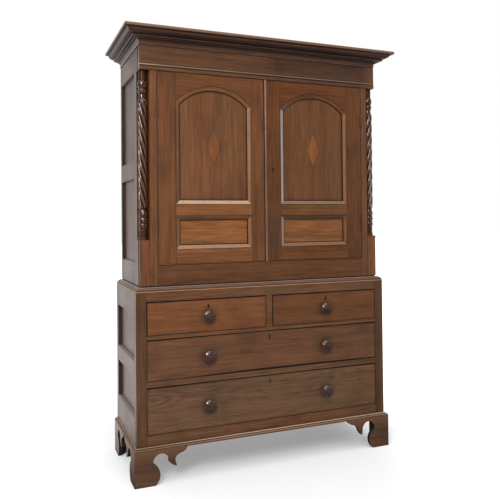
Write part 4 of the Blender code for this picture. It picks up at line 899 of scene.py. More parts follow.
def moulded_ring(name, profile, half, face, back_y, front, inside=None):
    """A profile carried round left side, front and right side, with mitred corners.

    profile rows are (projection, height), from the bottom up; each row is drawn as a U in plan,
    so every corner is a mitre. front is the Y that the profile's furthest point reaches in front,
    which may be a little more or less than its reach at the sides. inside is the (half width, face)
    of an open middle; without it the bottom and top are closed flat.
    """
    profile = dense(profile)
    relief = relief_of(profile)
    forward = (face - front) / profile[:, 0].max()
    section = np.stack((half + profile[:, 0], face - forward * profile[:, 0], profile[:, 1]), axis=1)
    if inside is not None:
        inner = np.array([[inside[0], inside[1], profile[-1, 1]], [inside[0], inside[1], profile[0, 1]]])
        section = np.concatenate((section, inner))
        relief = np.concatenate((relief, (0.0, 0.0)))
    count = len(section)
    back = np.full(count, back_y)
    corners = ((-1, back), (-1, section[:, 1]), (1, section[:, 1]), (1, back))
    grid = np.stack([np.stack((side * section[:, 0], y, section[:, 2]), axis=1) for side, y in corners],
                    axis=1)
    depth = back_y - face
    run = run_grid(section, np.array([0.0, depth, depth + 2 * half, 2 * depth + 2 * half]))
    relief = np.repeat(relief[:, None], 4, axis=1)
    if inside is not None:
        return surface(name, grid, True, False, flat_ends(count, 4), run, relief)
    last = 4 * (count - 1)
    return surface(name, grid, False, True, [range(4), range(last, last + 4)], run, relief)


def cornice_profile(bottom, top, reach):
    """Fillet over a slot, cavetto, bead, ovolo, soffit and square fillet, as (projection, height)."""
    tall = top - bottom
    foot = np.array([[-0.0035, 0.0], [-0.0035, 0.040], [0.0036, 0.045], [0.0040, 0.100], [0.0008, 0.106]])
    cavetto = np.concatenate((arc((0.0240, 0.118), (0.0232, 0.278), 180, 94, 12), [[0.0222, 0.418]]))
    bead = arc((0.0305, 0.468), (0.0060, 0.044), -80, 95, 10)
    groove = np.array([[0.0300, 0.520], [0.0300, 0.535], [0.0350, 0.540]])
    ovolo = arc((0.0340, 0.80), (0.0290, 0.250), -80, -6, 14)
    soffit = np.array([[0.0640, 0.785], [0.0640, 0.815], [reach - 0.0010, 0.820], [reach, 0.835]])
    fillet = np.array([[reach, 0.930], [reach - 0.0012, 0.975], [reach - 0.0030, 1.0]])
    return np.concatenate((foot, cavetto, bead, groove, ovolo, soffit, fillet)) * (1, tall) + (0, bottom)


def make_cornice():
    """The cornice round three sides, open in the middle, and the plain rail behind it."""
    low, high = span("cornice")
    inside = (UPPER_HALF - CORNICE_THICKNESS, UPPER_FACE + BOARD_THICKNESS)
    profile = cornice_profile(low[Z], high[Z], high[X] - UPPER_HALF)
    piece = moulded_ring("cornice_mouldings", profile, UPPER_HALF, UPPER_FACE, BACK, low[Y], inside)
    finish = Oak("cornice_oak", finishes().cornice, seed=3.1, by_length=True, roughness=0.42)
    # painted shade on the undersides
    finish.shaded(DOWN, 0.65)
    # painted shade in the hollows, darker on the side returns, and a pale painted highlight on the returns'
    # ridges
    finish.carved(finish.between(FORWARD, 1.0, 0.40), finish.between(FORWARD, 0.9, 0.0), (0.52, 0.42, 0.37))
    fillet = low[Z] + 0.84 * (high[Z] - low[Z])
    # a painted highlight on the top fillet
    finish.lighten(finish.grade(Z, fillet - 0.0015, fillet + 0.0015), 0.50, (0.26, 0.145, 0.090))
    # painted sheen on the left return
    finish.dust_and_sheen(LEFT, 0.45, (0.23, 0.20, 0.185), 0.25, 0.75)
    place_on(piece, finish.done(coat=0.08, specular=0.25), "upper_case", "oak", "cornice")
    rear = board("cornice_rear_rail", (-inside[0], BACK - BOARD_THICKNESS, low[Z]),
                 (inside[0], BACK, high[Z]))
    finish = Oak("cornice_rear_oak", finishes().lining, seed=4.0)
    place_on(rear, finish.done(), "upper_case", "oak")


def board(name, low, high, rounding=0.0008):
    """A board whose faces are a cube-shaped grid, with its edges worn round."""
    x, y, z = zip(low, high)
    ring = np.array([[x[0], y[0]], [x[1], y[0]], [x[1], y[1]], [x[0], y[1]]])
    grid = np.array([[[a, b, h] for a, b in ring] for h in z])
    piece = surface(name, grid, False, True, [(0, 1, 2, 3), (4, 5, 6, 7)])
    round_edges(piece, rounding)
    return piece


def round_edges(piece, width, segments=2):
    """A small live bevel on every sharp edge."""
    bevel = piece.modifiers.new("worn edges", "BEVEL")
    bevel.width = width
    bevel.segments = segments
    bevel.limit_method = "ANGLE"
    bevel.angle_limit = radians(40)
    bevel.harden_normals = True


def stepped_edge(out, lip, wall, slot):
    """Nose, quirk, bead, quirk and a hollow up to a lip, then a slot at the wall above.

    Rows are (projection, height share); out is the nose, lip the projection of the top edge, and
    the slot goes in from the wall by its own depth.
    """
    return np.concatenate((
        [[out, 0.0], [out, 0.130], [out - 0.0026, 0.145], [out - 0.0026, 0.225]],
        arc((out - 0.0046, 0.365), (0.0046, 0.125), -75, 88, 9),
        [[out - 0.0075, 0.495], [out - 0.0078, 0.545]],
        arc((lip, 0.56), (out - 0.0085 - lip, 0.22), 4, 86, 8),
        [[lip - 0.0008, 0.815], [wall - slot, 0.820], [wall - slot, 1.0]]))


def make_waist():
    """The moulding between the two cases: a paler nose, painted highlight lines and painted shade in its
    quirks.
    """
    low, high = span("waist_top_board")
    rows = stepped_edge(high[X] - UPPER_HALF, 0.0090, 0.0, 0.0035) * (1, high[Z] - low[Z]) + (0, low[Z])
    piece = moulded_ring("waist_mouldings", rows, UPPER_HALF, UPPER_FACE, BACK, low[Y])
    finish = Oak("waist_oak", finishes().waist, seed=8.4, by_length=True, roughness=0.42)
    # paler tops for dust and painted sheen, painted shade in the hollows, and paler ridges
    finish.dust_and_sheen(UP, 0.20, (0.20, 0.17, 0.15), 0.2, 0.6).carved(0.97, 0.45, (0.27, 0.21, 0.175))
    nose = low[Z] + 0.14 * (high[Z] - low[Z])
    finish.lighten(finish.level(low[Z] + 0.0004, nose), 0.60, (0.50, 0.29, 0.16))
    # painted highlight lines, and painted shade in the quirks and the gap under the upper case
    finish.lines(low[Z], high[Z], ((0.72, 0.825, 0.45), (0.50, 0.58, 0.30)),
                 ((0.86, 1.0, 0.9), (0.61, 0.69, 0.9), (0.36, 0.44, 0.6)), (0.36, 0.31, 0.28))
    place_on(piece, finish.done(coat=0.05, specular=0.3), "lower_case", "oak", "waist_top_board")


def make_base():
    """The moulding over the feet, with painted highlights brighter to the right and painted shade in its
    quirks.
    """
    low, high = span("base_board")
    wall = span("lower_side_right")[1][X]
    rows = stepped_edge(high[X] - wall, 0.0030, 0.0, 0.0035) * (1, high[Z] - low[Z]) + (0, low[Z])
    piece = moulded_ring("base_mouldings", rows, wall, LOWER_FACE, BACK, low[Y])
    finish = Oak("base_oak", finishes().feet, seed=5.7, by_length=True, roughness=0.42)
    # painted shade in the hollows, and paler ridges
    finish.carved(0.97, 0.45, (0.50, 0.24, 0.12))
    # painted highlight lines, brighter towards the right, and painted shade in the quirks
    brighter = finish.grade(X, -0.62, -0.15, 0.45, 1.0)
    finish.lines(low[Z], high[Z], ((0.70, 0.825, 0.80), (0.42, 0.50, 0.35)),
                 ((0.86, 1.0, 0.9), (0.54, 0.66, 0.9), (0.20, 0.30, 0.9), (0.0, 0.05, 0.8)),
                 (0.62, 0.42, 0.28), brighter)
    place_on(piece, finish.done(coat=0.10, specular=0.3), "lower_case", "oak", "base_board")


def straight_moulding(name, profile, half, face, rear):
    """A profile of (projection, height) run straight across the front, with flat ends."""
    profile = dense(profile)
    relief = np.concatenate((relief_of(profile), (0.0, 0.0)))
    section = np.stack((face - profile[:, 0], profile[:, 1]), axis=1)
    section = np.concatenate((section, [[rear, profile[-1, 1]], [rear, profile[0, 1]]]))
    count = len(section)
    ends = np.array([-half, half])
    across, y = np.broadcast_arrays(ends, section[:, :1])
    z = np.broadcast_to(section[:, 1:], (count, 2))
    run = run_grid(section, ends + half)
    return surface(name, np.stack((across, y, z), axis=-1), True, False, flat_ends(count, 2), run,
                   np.repeat(relief[:, None], 2, axis=1))


def fill_groove(name, side, low, high):
    """The floor of the groove between a front board and the board of the side, painted near black as shade.
    """
    if side < 0:
        low = (low[X] + GROOVE_DEPTH, low[Y], low[Z])
    else:
        high = (high[X] - GROOVE_DEPTH, high[Y], high[Z])
    piece = board(name, low, high, 0.0003)
    finish = Oak(name + "_oak", (0.012, 0.009, 0.008), "z", seed=side * 2.3, roughness=0.7)
    place_on(piece, finish.done(specular=0.1), "upper_case", "oak")


def make_frieze():
    """The frieze board with its lip and bead, and the two plain boards of the ends behind it."""
    low, high = span("frieze")
    lip = high[X] - UPPER_HALF
    profile = np.concatenate((
        np.array([[lip - 0.0010, 0.0], [lip, 0.0008], [lip, 0.0140], [lip - 0.0008, 0.0152],
                  [0.0002, 0.0156], [0.0002, 0.0198]]),
        arc((0.0008, 0.0245), (0.0039, 0.0040), -80, 95, 11),
        np.array([[0.0006, 0.0288], [0.0006, 0.0298], [0.0015, 0.0302], [0.0015, high[Z] - low[Z]]])))
    rear = UPPER_FACE + BOARD_THICKNESS
    piece = straight_moulding("frieze_board", profile + (0, low[Z]), UPPER_HALF, UPPER_FACE, rear)
    finish = Oak("frieze_oak", finishes().frieze, seed=1.9, polish=1.3)
    # painted shade growing towards the right and under the lip
    finish.fade(X, -0.20, 0.35, 0.30).shaded(DOWN, 0.5).carved(0.95, 0.0)
    finish.lighten(finish.grade(X, 0.55, 0.62), 0.40, (0.20, 0.080, 0.028))
    # worn here is the share of the bead's painted highlight, strongest at the left
    worn = finish.grade(X, -0.66, -0.40, 0.50, 0.22)
    bead = finish.kit.math("MULTIPLY", finish.level(low[Z] + 0.0218, low[Z] + 0.0278, 0.001), worn)
    finish.lighten(bead, 1.0, (0.62, 0.42, 0.27))
    finish.cathedral((-0.185, (low[Z] + high[Z]) / 2 + 0.010), (0.060, 0.013), 2.5, 0.35, 0.16)
    place_on(piece, finish.done(coat=0.1), "upper_case", "oak", "frieze")
    for name, side in SIDES:
        across = sorted((side * (UPPER_HALF - FRIEZE_END_THICKNESS), side * UPPER_HALF))
        end = board("frieze_end_" + name, (across[0], rear + GROOVE, low[Z]), (across[1], high[Y], high[Z]))
        fill_groove("frieze_groove_" + name, side, (across[0], rear, low[Z]),
                    (across[1], rear + GROOVE, high[Z]))
        finish = Oak("frieze_end_oak_" + name, finishes().sides, "y", seed=side * 6.6, roughness=0.46)
        # the end board's faces in the groove go black as painted shade
        finish.only_on([(X, side * UPPER_HALF)]).shaded(FORWARD, 1.0, 0.3, 0.6)
        place_on(end, finish.done(specular=0.5), "upper_case", "oak")


def strand_height(phase):
    """Height of the twisted shaft across one strand: a wide roll, a groove, a thin bead, a groove."""
    part = np.mod(phase, 1.0)
    roll = np.sqrt(np.clip(1 - ((part - 0.39) / 0.39) ** 2, 0, 1))
    bead = 0.55 * np.sqrt(np.clip(1 - ((part - 0.89) / 0.09) ** 2, 0, 1))
    return np.maximum(roll, bead)


def averaged(values, reach, axis):
    """Mean of each value with its neighbours on both sides along one axis, wrapped round."""
    total = sum(np.roll(values, step, axis) for step in range(-reach, reach + 1))
    return total / (2 * reach + 1)


def leaf_height(turn, share, count):
    """Carved leaves on a collar: raised between the zigzag of their tips, with a vein down each."""
    wave = np.abs(np.mod(turn / (2 * pi) * count, 1.0) - 0.5) * 2
    edge = np.clip((share - 0.15 - 0.55 * wave) * 9, 0, 1)
    vein = 0.45 * np.exp(-((wave - 0.04) / 0.09) ** 2)
    return edge * (1 - vein)


def column_grid(low, high, side):
    """The column as radius over height and turn, and its relief.

    The outline goes up from the foot and the crown ends at the top, both as (distance, share of
    the radius), with the shaft between them. Radius is the turned outline at that height, plus
    strands that wind round the shaft once in as many pitches as there are strands, plus leaves
    on the three collars.
    """
    size = sizes()
    radius = (high[X] - low[X]) / 2
    foot, top = low[Z], high[Z]
    outline = np.array([
        (0.0, 0.90), (0.0015, 0.93), (0.0100, 0.93), (0.0130, 0.86), (0.0155, 0.79), (0.0300, 0.80),
        (0.0430, 0.78), (0.0455, 0.86), (0.0480, 0.93), (0.0600, 0.93), (0.0700, 0.88), (0.0735, 0.82),
        (0.0755, 0.86), (0.0790, 0.99), (0.0860, 0.97), (0.0970, 0.90), (0.1010, 0.84), (0.1040, 0.90),
        (0.1080, 1.00), (0.1150, 0.97), (0.1280, 0.84), (0.1350, 0.76), (0.1400, 0.72), (0.1445, 0.80)])
    crown = np.array([
        (0.1290, 0.80), (0.1250, 0.74), (0.1120, 0.74), (0.1060, 0.80), (0.1025, 0.92), (0.0965, 0.97),
        (0.0905, 0.92), (0.0870, 0.80), (0.0840, 0.74), (0.0810, 0.84), (0.0760, 0.95), (0.0655, 1.00),
        (0.0550, 0.95), (0.0500, 0.84), (0.0470, 0.73), (0.0440, 0.70), (0.0400, 0.74), (0.0010, 0.74),
        (0.0, 0.72)])
    shaft = (foot + outline[-1, 0], top - crown[0, 0])
    heights = np.concatenate((foot + outline[:, 0], top - crown[:, 0]))
    shares = np.concatenate((outline[:, 1], crown[:, 1]))
    z = np.concatenate((np.linspace(foot, shaft[0], 120), np.linspace(shaft[0], shaft[1], 260)[1:-1],
                        np.linspace(shaft[1], top, 100)))
    turn = np.linspace(0, 2 * pi, 97)[:-1]
    z, turn = np.meshgrid(z, turn, indexing="ij")
    r = radius * np.interp(z, heights, shares)
    phase = size.strands * turn / (2 * pi) - side * z / size.strand_pitch
    fade = np.clip((z - shaft[0]) / 0.008, 0, 1) * np.clip((shaft[1] - z) / 0.012, 0, 1)
    rope = radius - size.strand_depth * (1 - strand_height(phase))
    r = r * (1 - fade) + rope * fade
    for base, tall in COLLARS:
        share = (z - foot - base) / tall
        inside = (share > 0) & (share < 1)
        r = r + np.where(inside, size.leaf_relief * (leaf_height(turn, share, LEAVES) - 0.75), 0)
    r = np.minimum(r, radius)
    relief = (r - averaged(averaged(r, 5, 1), 4, 0)) * 1000
    middle = (low + high) / 2
    x = middle[X] + r * np.cos(turn)
    y = middle[Y] + r * np.sin(turn)
    return np.stack((x, y, z), axis=-1), relief


def with_poles(grid):
    """Closes both ends of a turned grid with a row of points drawn in to the middle."""
    first = np.broadcast_to(grid[0].mean(axis=0), grid[0].shape)
    last = np.broadcast_to(grid[-1].mean(axis=0), grid[-1].shape)
    return np.concatenate((first[None], grid, last[None]))


def make_columns():
    """The twisted and carved columns, wound opposite ways."""
    for name, side in SIDES:
        low, high = span("column_" + name)
        grid, relief = column_grid(low, high, side)
        relief = np.concatenate((relief[:1] * 0, relief, relief[:1] * 0))
        piece = surface("column_carved_" + name, with_poles(grid), False, True, relief=relief,
                        smooth_angle=50)
        finish = Oak("column_wood_" + name, finishes().turned, "z", seed=side * 2.0, roughness=0.26,
                     contrast=1.1, polish=0.8)
        # painted shade in the grooves, and paler strands for wear and painted highlight
        finish.carved(0.97, 0.20, (0.36, 0.15, 0.080))
        finish.coat_between(low[Z] + DULL_END, high[Z] - DULL_END, 0.75)
        place_on(piece, finish.done(0.12, specular=0.12, coat_ior=1.75, coat_roughness=0.06),
                 "upper_case", "turned_wood", "column_" + name)


def knob_profile(radius, reach):
    """The knob's outline as (radius, distance in front of the drawer), from its middle out.

    A button, three rings that step back like a shallow cone, and a round rim close to the drawer.
    """
    shares = np.concatenate((
        arc((0.0, 0.92), (0.10, 0.08), 90, 0, 6), [[0.13, 0.88], [0.16, 0.88]],
        arc((0.23, 0.885), (0.060, 0.055), 175, -10, 7), [[0.315, 0.82], [0.345, 0.81]],
        arc((0.42, 0.795), (0.070, 0.060), 170, -15, 8), [[0.505, 0.715], [0.545, 0.695]],
        arc((0.64, 0.655), (0.085, 0.070), 165, -20, 8), [[0.735, 0.560], [0.765, 0.540]],
        arc((0.885, 0.400), (0.115, 0.150), 130, -60, 14),
        [[0.86, 0.22], [0.74, 0.16], [0.66, 0.10], [0.62, 0.045], [0.62, 0.012]]))
    return shares * (radius, reach)


def make_knobs():
    """The six turned knobs, with reeds round the rim and round one of the rings."""
    radius = sizes().knob_radius
    turn = np.linspace(0, 2 * pi, 145)[:-1]
    for node in KNOBS:
        low, high = span(node)
        middle = (low + high) / 2
        profile = knob_profile(radius, LOWER_FACE - low[Y])
        heights = relief_of(profile * (1, -1), 0.0030)
        share = profile[:, 0] / radius
        reeded = np.interp(share, (0.76, 0.84), (0.0, 1.0))
        reeded = reeded + np.interp(share, (0.40, 0.44, 0.54, 0.57), (0, 1, 1, 0))
        reeds = REED_DEPTH * reeded[:, None] * (np.abs(np.cos(sizes().reeds * turn / 2)) - 1.0)
        across = profile[:, 0][:, None] * (1 + reeds)
        y = np.broadcast_to((LOWER_FACE - profile[:, 1])[:, None], across.shape)
        grid = np.stack((middle[X] + across * np.cos(turn), y, middle[Z] + across * np.sin(turn)), axis=-1)
        relief = np.concatenate(((0.0,), heights, (0.0,)))[:, None]
        relief = relief + np.pad(reeds, ((1, 1), (0, 0))) * REED_RELIEF
        piece = surface(node + "_turned", with_poles(grid), False, True, relief=relief,
                        smooth_angle=45)
        finish = Oak(node + "_wood", finishes().knobs, "y", seed=middle[X] * 7, roughness=0.24, polish=0.6)
        # painted shade in the hollows, and paler rings and reeds for wear and painted highlight
        finish.carved(0.97, 0.60, (0.12, 0.085, 0.075)).coat_on_rim(middle, 0.70 * radius, 1.0)
        place_on(piece, finish.done(0.1, specular=0.25, coat_ior=2.1, coat_roughness=0.08),
                 node.split("_knob")[0], "turned_wood", node)


def arched_points(inset, low, high, rise, steps):
    """An arched opening drawn in by an inset: two foot corners and a round head, as (x, z).

    The head is one circle through the two springing points and the crown.
    """
    width = sizes().moulding_width
    half = (high[0] - low[0]) / 2
    inner_half = half - width
    radius = (inner_half ** 2 + rise ** 2) / (2 * rise)
    middle = (low[0] + high[0]) / 2
    centre = high[1] - width - radius
    r = radius + width - inset
    spread = np.arcsin((half - inset) / r)
    turn = np.linspace(spread, -spread, steps)
    head = np.stack((middle + r * np.sin(turn), centre + r * np.cos(turn)), axis=1)
    foot = np.array([[middle - half + inset, low[1] + inset], [middle + half - inset, low[1] + inset]])
    return np.concatenate((foot, head))


def oblong_points(inset, low, high):
    """An oblong opening drawn in by an inset, as (x, z)."""
    return np.array([[low[0] + inset, low[1] + inset], [high[0] - inset, low[1] + inset],
                     [high[0] - inset, high[1] - inset], [low[0] + inset, high[1] - inset]])


def moulding_section(width, depth, seat):
    """Section of the panel moulding as (inset, depth behind the door's face, relief), closed.

    A narrow quirk, a wide slope that bulges a little, and a deep foot against the panel; a relief of -1
    paints the quirk and the foot black as painted shade.
    """
    share = np.linspace(0, 1, 9)
    bulge = 0.0002 * np.sin(pi * share)
    outer, inner = 0.0024, 0.82 * width
    slope = np.stack((outer + (inner - outer) * share, 0.0004 + (0.72 * depth - 0.0004) * share - bulge,
                      0.75 - 0.45 * share), axis=1)
    quirk = np.array([[0.0003, 0.0030, -1.0], [0.0018, 0.0030, -1.0], [outer - 0.0003, 0.0010, -0.2]])
    foot = np.array([[inner + 0.0003, 0.75 * depth, -0.2], [inner + 0.0007, depth, -1.0],
                     [width, depth + 0.0006, -1.0]])
    rear = np.array([[width, seat, 0.0], [0.0003, seat, 0.0]])
    return np.concatenate((quirk, slope, foot, rear))


def moulding_piece(name, outline, section):
    """The section carried round a closed outline, so that every corner is a mitre."""
    flat = np.array([outline(inset) for inset in section[:, 0]])
    y = UPPER_FACE + section[:, 1][:, None] * np.ones(flat.shape[1])
    grid = np.stack((flat[:, :, 0], y, flat[:, :, 1]), axis=-1)
    run = run_grid(section[:, :2], lengths(grid[0]))
    relief = np.repeat(section[:, 2:], flat.shape[1], axis=1)
    return surface(name, grid, True, True, run=run, relief=relief, smooth_angle=12)


def edge_bead(name, edges, bottom, top, rear):
    """A half-round bead with a quirk behind it, down a door's outer edge and along its bottom.

    edges are the X of the outer edge and of the other end; an inset moves both legs inwards.
    """
    width = sizes().edge_bead
    inward = np.sign(edges[1] - edges[0])
    roll = 0.80 * width
    section = np.concatenate((
        np.array([[0.0, rear], [0.0, 0.0022]]),
        arc((roll / 2, 0.0022), (roll / 2, -0.0022), 180, 0, 9),
        np.array([[roll + 0.0002, 0.0026], [width, 0.0026], [width, rear]])))
    inset, depth = section[:, 0], section[:, 1]
    upright = edges[0] + inward * inset
    level = bottom + inset
    across = np.stack((upright, upright, np.full(len(inset), edges[1])), axis=1)
    up = np.stack((np.full(len(inset), top), level, level), axis=1)
    y = UPPER_FACE + depth[:, None] * np.ones(3)
    grid = np.stack((across, y, up), axis=-1)
    relief = np.repeat(RELIEF_SCALE * (0.0011 - depth)[:, None], 3, axis=1)
    return surface(name, grid, True, False, flat_ends(len(inset), 3), run_grid(section, lengths(grid[0])),
                   relief)


def ruled_board(name, lower, upper, front, rear):
    """A board between two edge curves of (x, z), given thickness from front to rear."""
    loop = np.concatenate((lower, upper[::-1]))
    near = np.stack((loop[:, 0], np.full(len(loop), front), loop[:, 1]), axis=1)
    far = np.stack((loop[:, 0], np.full(len(loop), rear), loop[:, 1]), axis=1)
    grid = np.stack((near, far))
    count = len(loop)
    return surface(name, grid, False, True, [range(count), range(count, 2 * count)])


# Painted light and shade on the faces of each moulding that look down, up, left and right: those that look
# down get painted shade and the others painted light, but a tone below 0 gives painted shade
MOULDING_LIGHT_AND_SHADE = {
    "door_left_arch_moulding": (0.10, 0.62, 0.16, -0.35),
    "door_left_oblong_moulding": (0.30, 0.30, 0.20, -0.10),
    "door_right_arch_moulding": (0.10, 0.22, 0.30, 0.60),
    "door_right_oblong_moulding": (0.35, 0.18, 0.10, 0.35),
}


def door_mouldings(body, side, openings, tint):
    """The mitred mouldings round one door's two panels, with painted light and shade on the faces that look
    each way.
    """
    section = moulding_section(sizes().moulding_width, MOULDING_FOOT, MOULDING_REAR)
    arch = moulding_piece(body + "_arch_moulding",
                          lambda inset: arched_points(inset, *openings[0], ARCH_RISE, ARCH_STEPS), section)
    oblong = moulding_piece(body + "_oblong_moulding",
                            lambda inset: oblong_points(inset, *openings[1]), section)
    for piece, shift in ((arch, 2.2), (oblong, 6.1)):
        finish = Oak(piece.name + "_oak", tint, seed=shift + side, by_length=True, roughness=0.36)
        down, up, left, right = MOULDING_LIGHT_AND_SHADE[piece.name]
        # painted shade on faces that look down; painted highlight, lit face and reflection on the others
        finish.shaded(DOWN, down, 0.10, 0.38)
        finish.dust_and_sheen(UP, up, (0.62, 0.40, 0.26), 0.10, 0.30)
        finish.dust_and_sheen(LEFT, left, (0.42, 0.18, 0.08), 0.32, 0.38)
        if right > 0:
            finish.dust_and_sheen(RIGHT, right, (0.42, 0.35, 0.32), 0.32, 0.38)
        else:
            finish.shaded(RIGHT, -right, 0.32, 0.38)
        finish.carved(0.97, 0.0).nailed()
        place_on(piece, finish.done(coat=0.12, specular=0.3), body, "oak")


def make_doors():
    """Both doors: their framing, mouldings, panels and inlays, and the bead where they meet."""
    under = sizes().moulding_width - PANEL_UNDER
    for name, side in SIDES:
        body = "door_" + name
        stile_tint, rail_tint, panel_tint, oblong_tint = (
            getattr(finishes(), name + "_" + part) for part in ("door", "rail", "panel", "oblong"))
        openings = []
        for node in (body + "_arched_panel", body + "_oblong_panel"):
            low, high = span(node)
            openings.append(((low - under)[[0, 2]], (high + under)[[0, 2]]))
        foot_tint = finishes().left_bottom_rail if side < 0 else stile_tint
        make_door_members(body, side, openings, (stile_tint, rail_tint, foot_tint))
        door_mouldings(body, side, openings, rail_tint)
        panel = Oak(body + "_arched_panel_oak", panel_tint, "z", seed=side * 3.3, rings=31, oval=6.0,
                    polish=0.9, contrast=0.72, ring_depth=0.18)
        # painted shade along the panel's edges, next to the moulding
        panel.rim(body + "_arched_panel", 0.024, 0.45).lozenge(body + "_inlay")
        dress(body + "_arched_panel", panel.done())
        oblong_oak = Oak(body + "_oblong_panel_oak", oblong_tint, "x", seed=side * 5.1, rings=90,
                         contrast=1.2, polish=0.5)
        # painted shade along the oblong panel's edges, next to the moulding
        dress(body + "_oblong_panel", oblong_oak.rim(body + "_oblong_panel", 0.010, 0.35).done())
        inlay = Oak(body + "_inlay_wood", finishes().inlay, "z", seed=side * 1.3, contrast=0.7, polish=0.5)
        dress(body + "_inlay", inlay.lozenge(body + "_inlay").done())
    bead = Oak("meeting_bead_oak", finishes().meeting_bead, "z", seed=9.0, roughness=0.42)
    dress("door_right_bead", bead.done(coat=0.08))


def make_door_members(body, side, openings, tints):
    """Stiles and rails of one door, each its own board with the grain along it, and the edge bead.

    openings are the corners of the arched and the oblong opening, and tints the colours of the
    stiles with the top rail, of the middle rail and of the bottom rail.
    """
    low, high = span(body + "_frame")
    (arch_low, arch_high), (oblong_low, oblong_high) = openings
    front, rear = low[Y], high[Y]
    rounding = sizes().edge_rounding
    bead_width = sizes().edge_bead
    outer = (low[X], high[X]) if side < 0 else (high[X], low[X])
    bead = edge_bead(body + "_edge_bead", outer, low[Z], high[Z], rear - front)
    finish = Oak(body + "_edge_bead_oak", tints[0], seed=side * 8.0, by_length=True, roughness=0.42)
    # a black outline of painted shade in the gap round the door
    finish.carved(0.95, 0.10).outlined(body + "_frame", 0.0020)
    place_on(bead, finish.done(specular=0.3), body, "oak")
    edge_low = low[X] + (bead_width if side < 0 else 0)
    edge_high = high[X] - (bead_width if side > 0 else 0)
    foot = low[Z] + bead_width
    joint_low, joint_high = arch_low[0], arch_high[0]
    left, right = joint_low + JOINT_GAP, joint_high - JOINT_GAP
    crown = arched_points(0.0, arch_low, arch_high, ARCH_RISE, ARCH_STEPS)[2:][::-1]
    crown[:, 0] = np.clip(crown[:, 0], left, right)
    lintel = np.array([[left, high[Z]], [right, high[Z]]])
    stile_low = board(body + "_stile_low_x", (edge_low, front, foot), (joint_low - JOINT_GAP, rear, high[Z]),
                      rounding)
    stile_high = board(body + "_stile_high_x", (joint_high + JOINT_GAP, front, foot),
                       (edge_high, rear, high[Z]), rounding)
    bottom_rail = board(body + "_bottom_rail", (left, front, foot), (right, rear, oblong_low[1]),
                        RAIL_ROUNDING)
    middle_rail = board(body + "_middle_rail", (left, front, oblong_high[1]), (right, rear, arch_low[1]),
                        RAIL_ROUNDING)
    top_rail = ruled_board(body + "_top_rail", crown, lintel, front, rear)
    members = ((stile_low, "z", tints[0]), (stile_high, "z", tints[0]), (bottom_rail, "x", tints[2]),
               (middle_rail, "x", tints[1]), (top_rail, "x", tints[0]))
    for index, (piece, direction, tint) in enumerate(members):
        finish = Oak(piece.name + "_oak", tint, direction, seed=index * 2.7 + low[X] * 3, rings=60, oval=2.5)
        # fine joint lines, and a black outline of painted shade in the gap round the door
        finish.joints(joint_low, joint_high).outlined(body + "_frame", 0.0016, 0.75)
        if side > 0 and index == 0:
            finish.lock_mark(*DOOR_KEY).keyhole(*DOOR_KEY)
            for height in (1.00, 1.09, 1.18):
                finish.halo_of_dirt_and_shade((0.036, UPPER_FACE, height), 0.01, 0.095, 0.30)
        if side < 0 and index == 1:
            # painted shade in the gap where the doors meet
            finish.seam(high[X], -1.0, 0.0042, upright=True, amount=0.85)
        replaced = (body + "_frame",) if index == 0 else ()
        place_on(piece, finish.done(), body, "oak", *replaced)


def make_corner_block(name, side):
    """The block under a column: a board on its front and one on its side, with a groove between."""
    low, high = span("corner_block_" + name)
    rear = low[Y] + BOARD_THICKNESS
    front = board("corner_block_front_" + name, low, (high[X], rear, high[Z]))
    finish = Oak("corner_block_oak_" + name, finishes().posts, "z", seed=side * 4.2)
    finish.rim("corner_block_" + name, 0.003, 0.35)
    place_on(front, finish.done(), "upper_case", "oak", "corner_block_" + name)
    behind = board("corner_block_side_" + name, (low[X], rear + GROOVE, low[Z]), high)
    fill_groove("corner_block_groove_" + name, side, (low[X], rear, low[Z]),
                (high[X], rear + GROOVE, high[Z]))
    finish = Oak("corner_block_side_oak_" + name, finishes().sides, "z", seed=side * 4.9, roughness=0.46)
    # the side board's faces in the groove go black as painted shade
    finish.only_on([(X, high[X] if side > 0 else low[X])]).shaded(FORWARD, 1.0, 0.3, 0.6)
    place_on(behind, finish.done(specular=0.5), "upper_case", "oak")


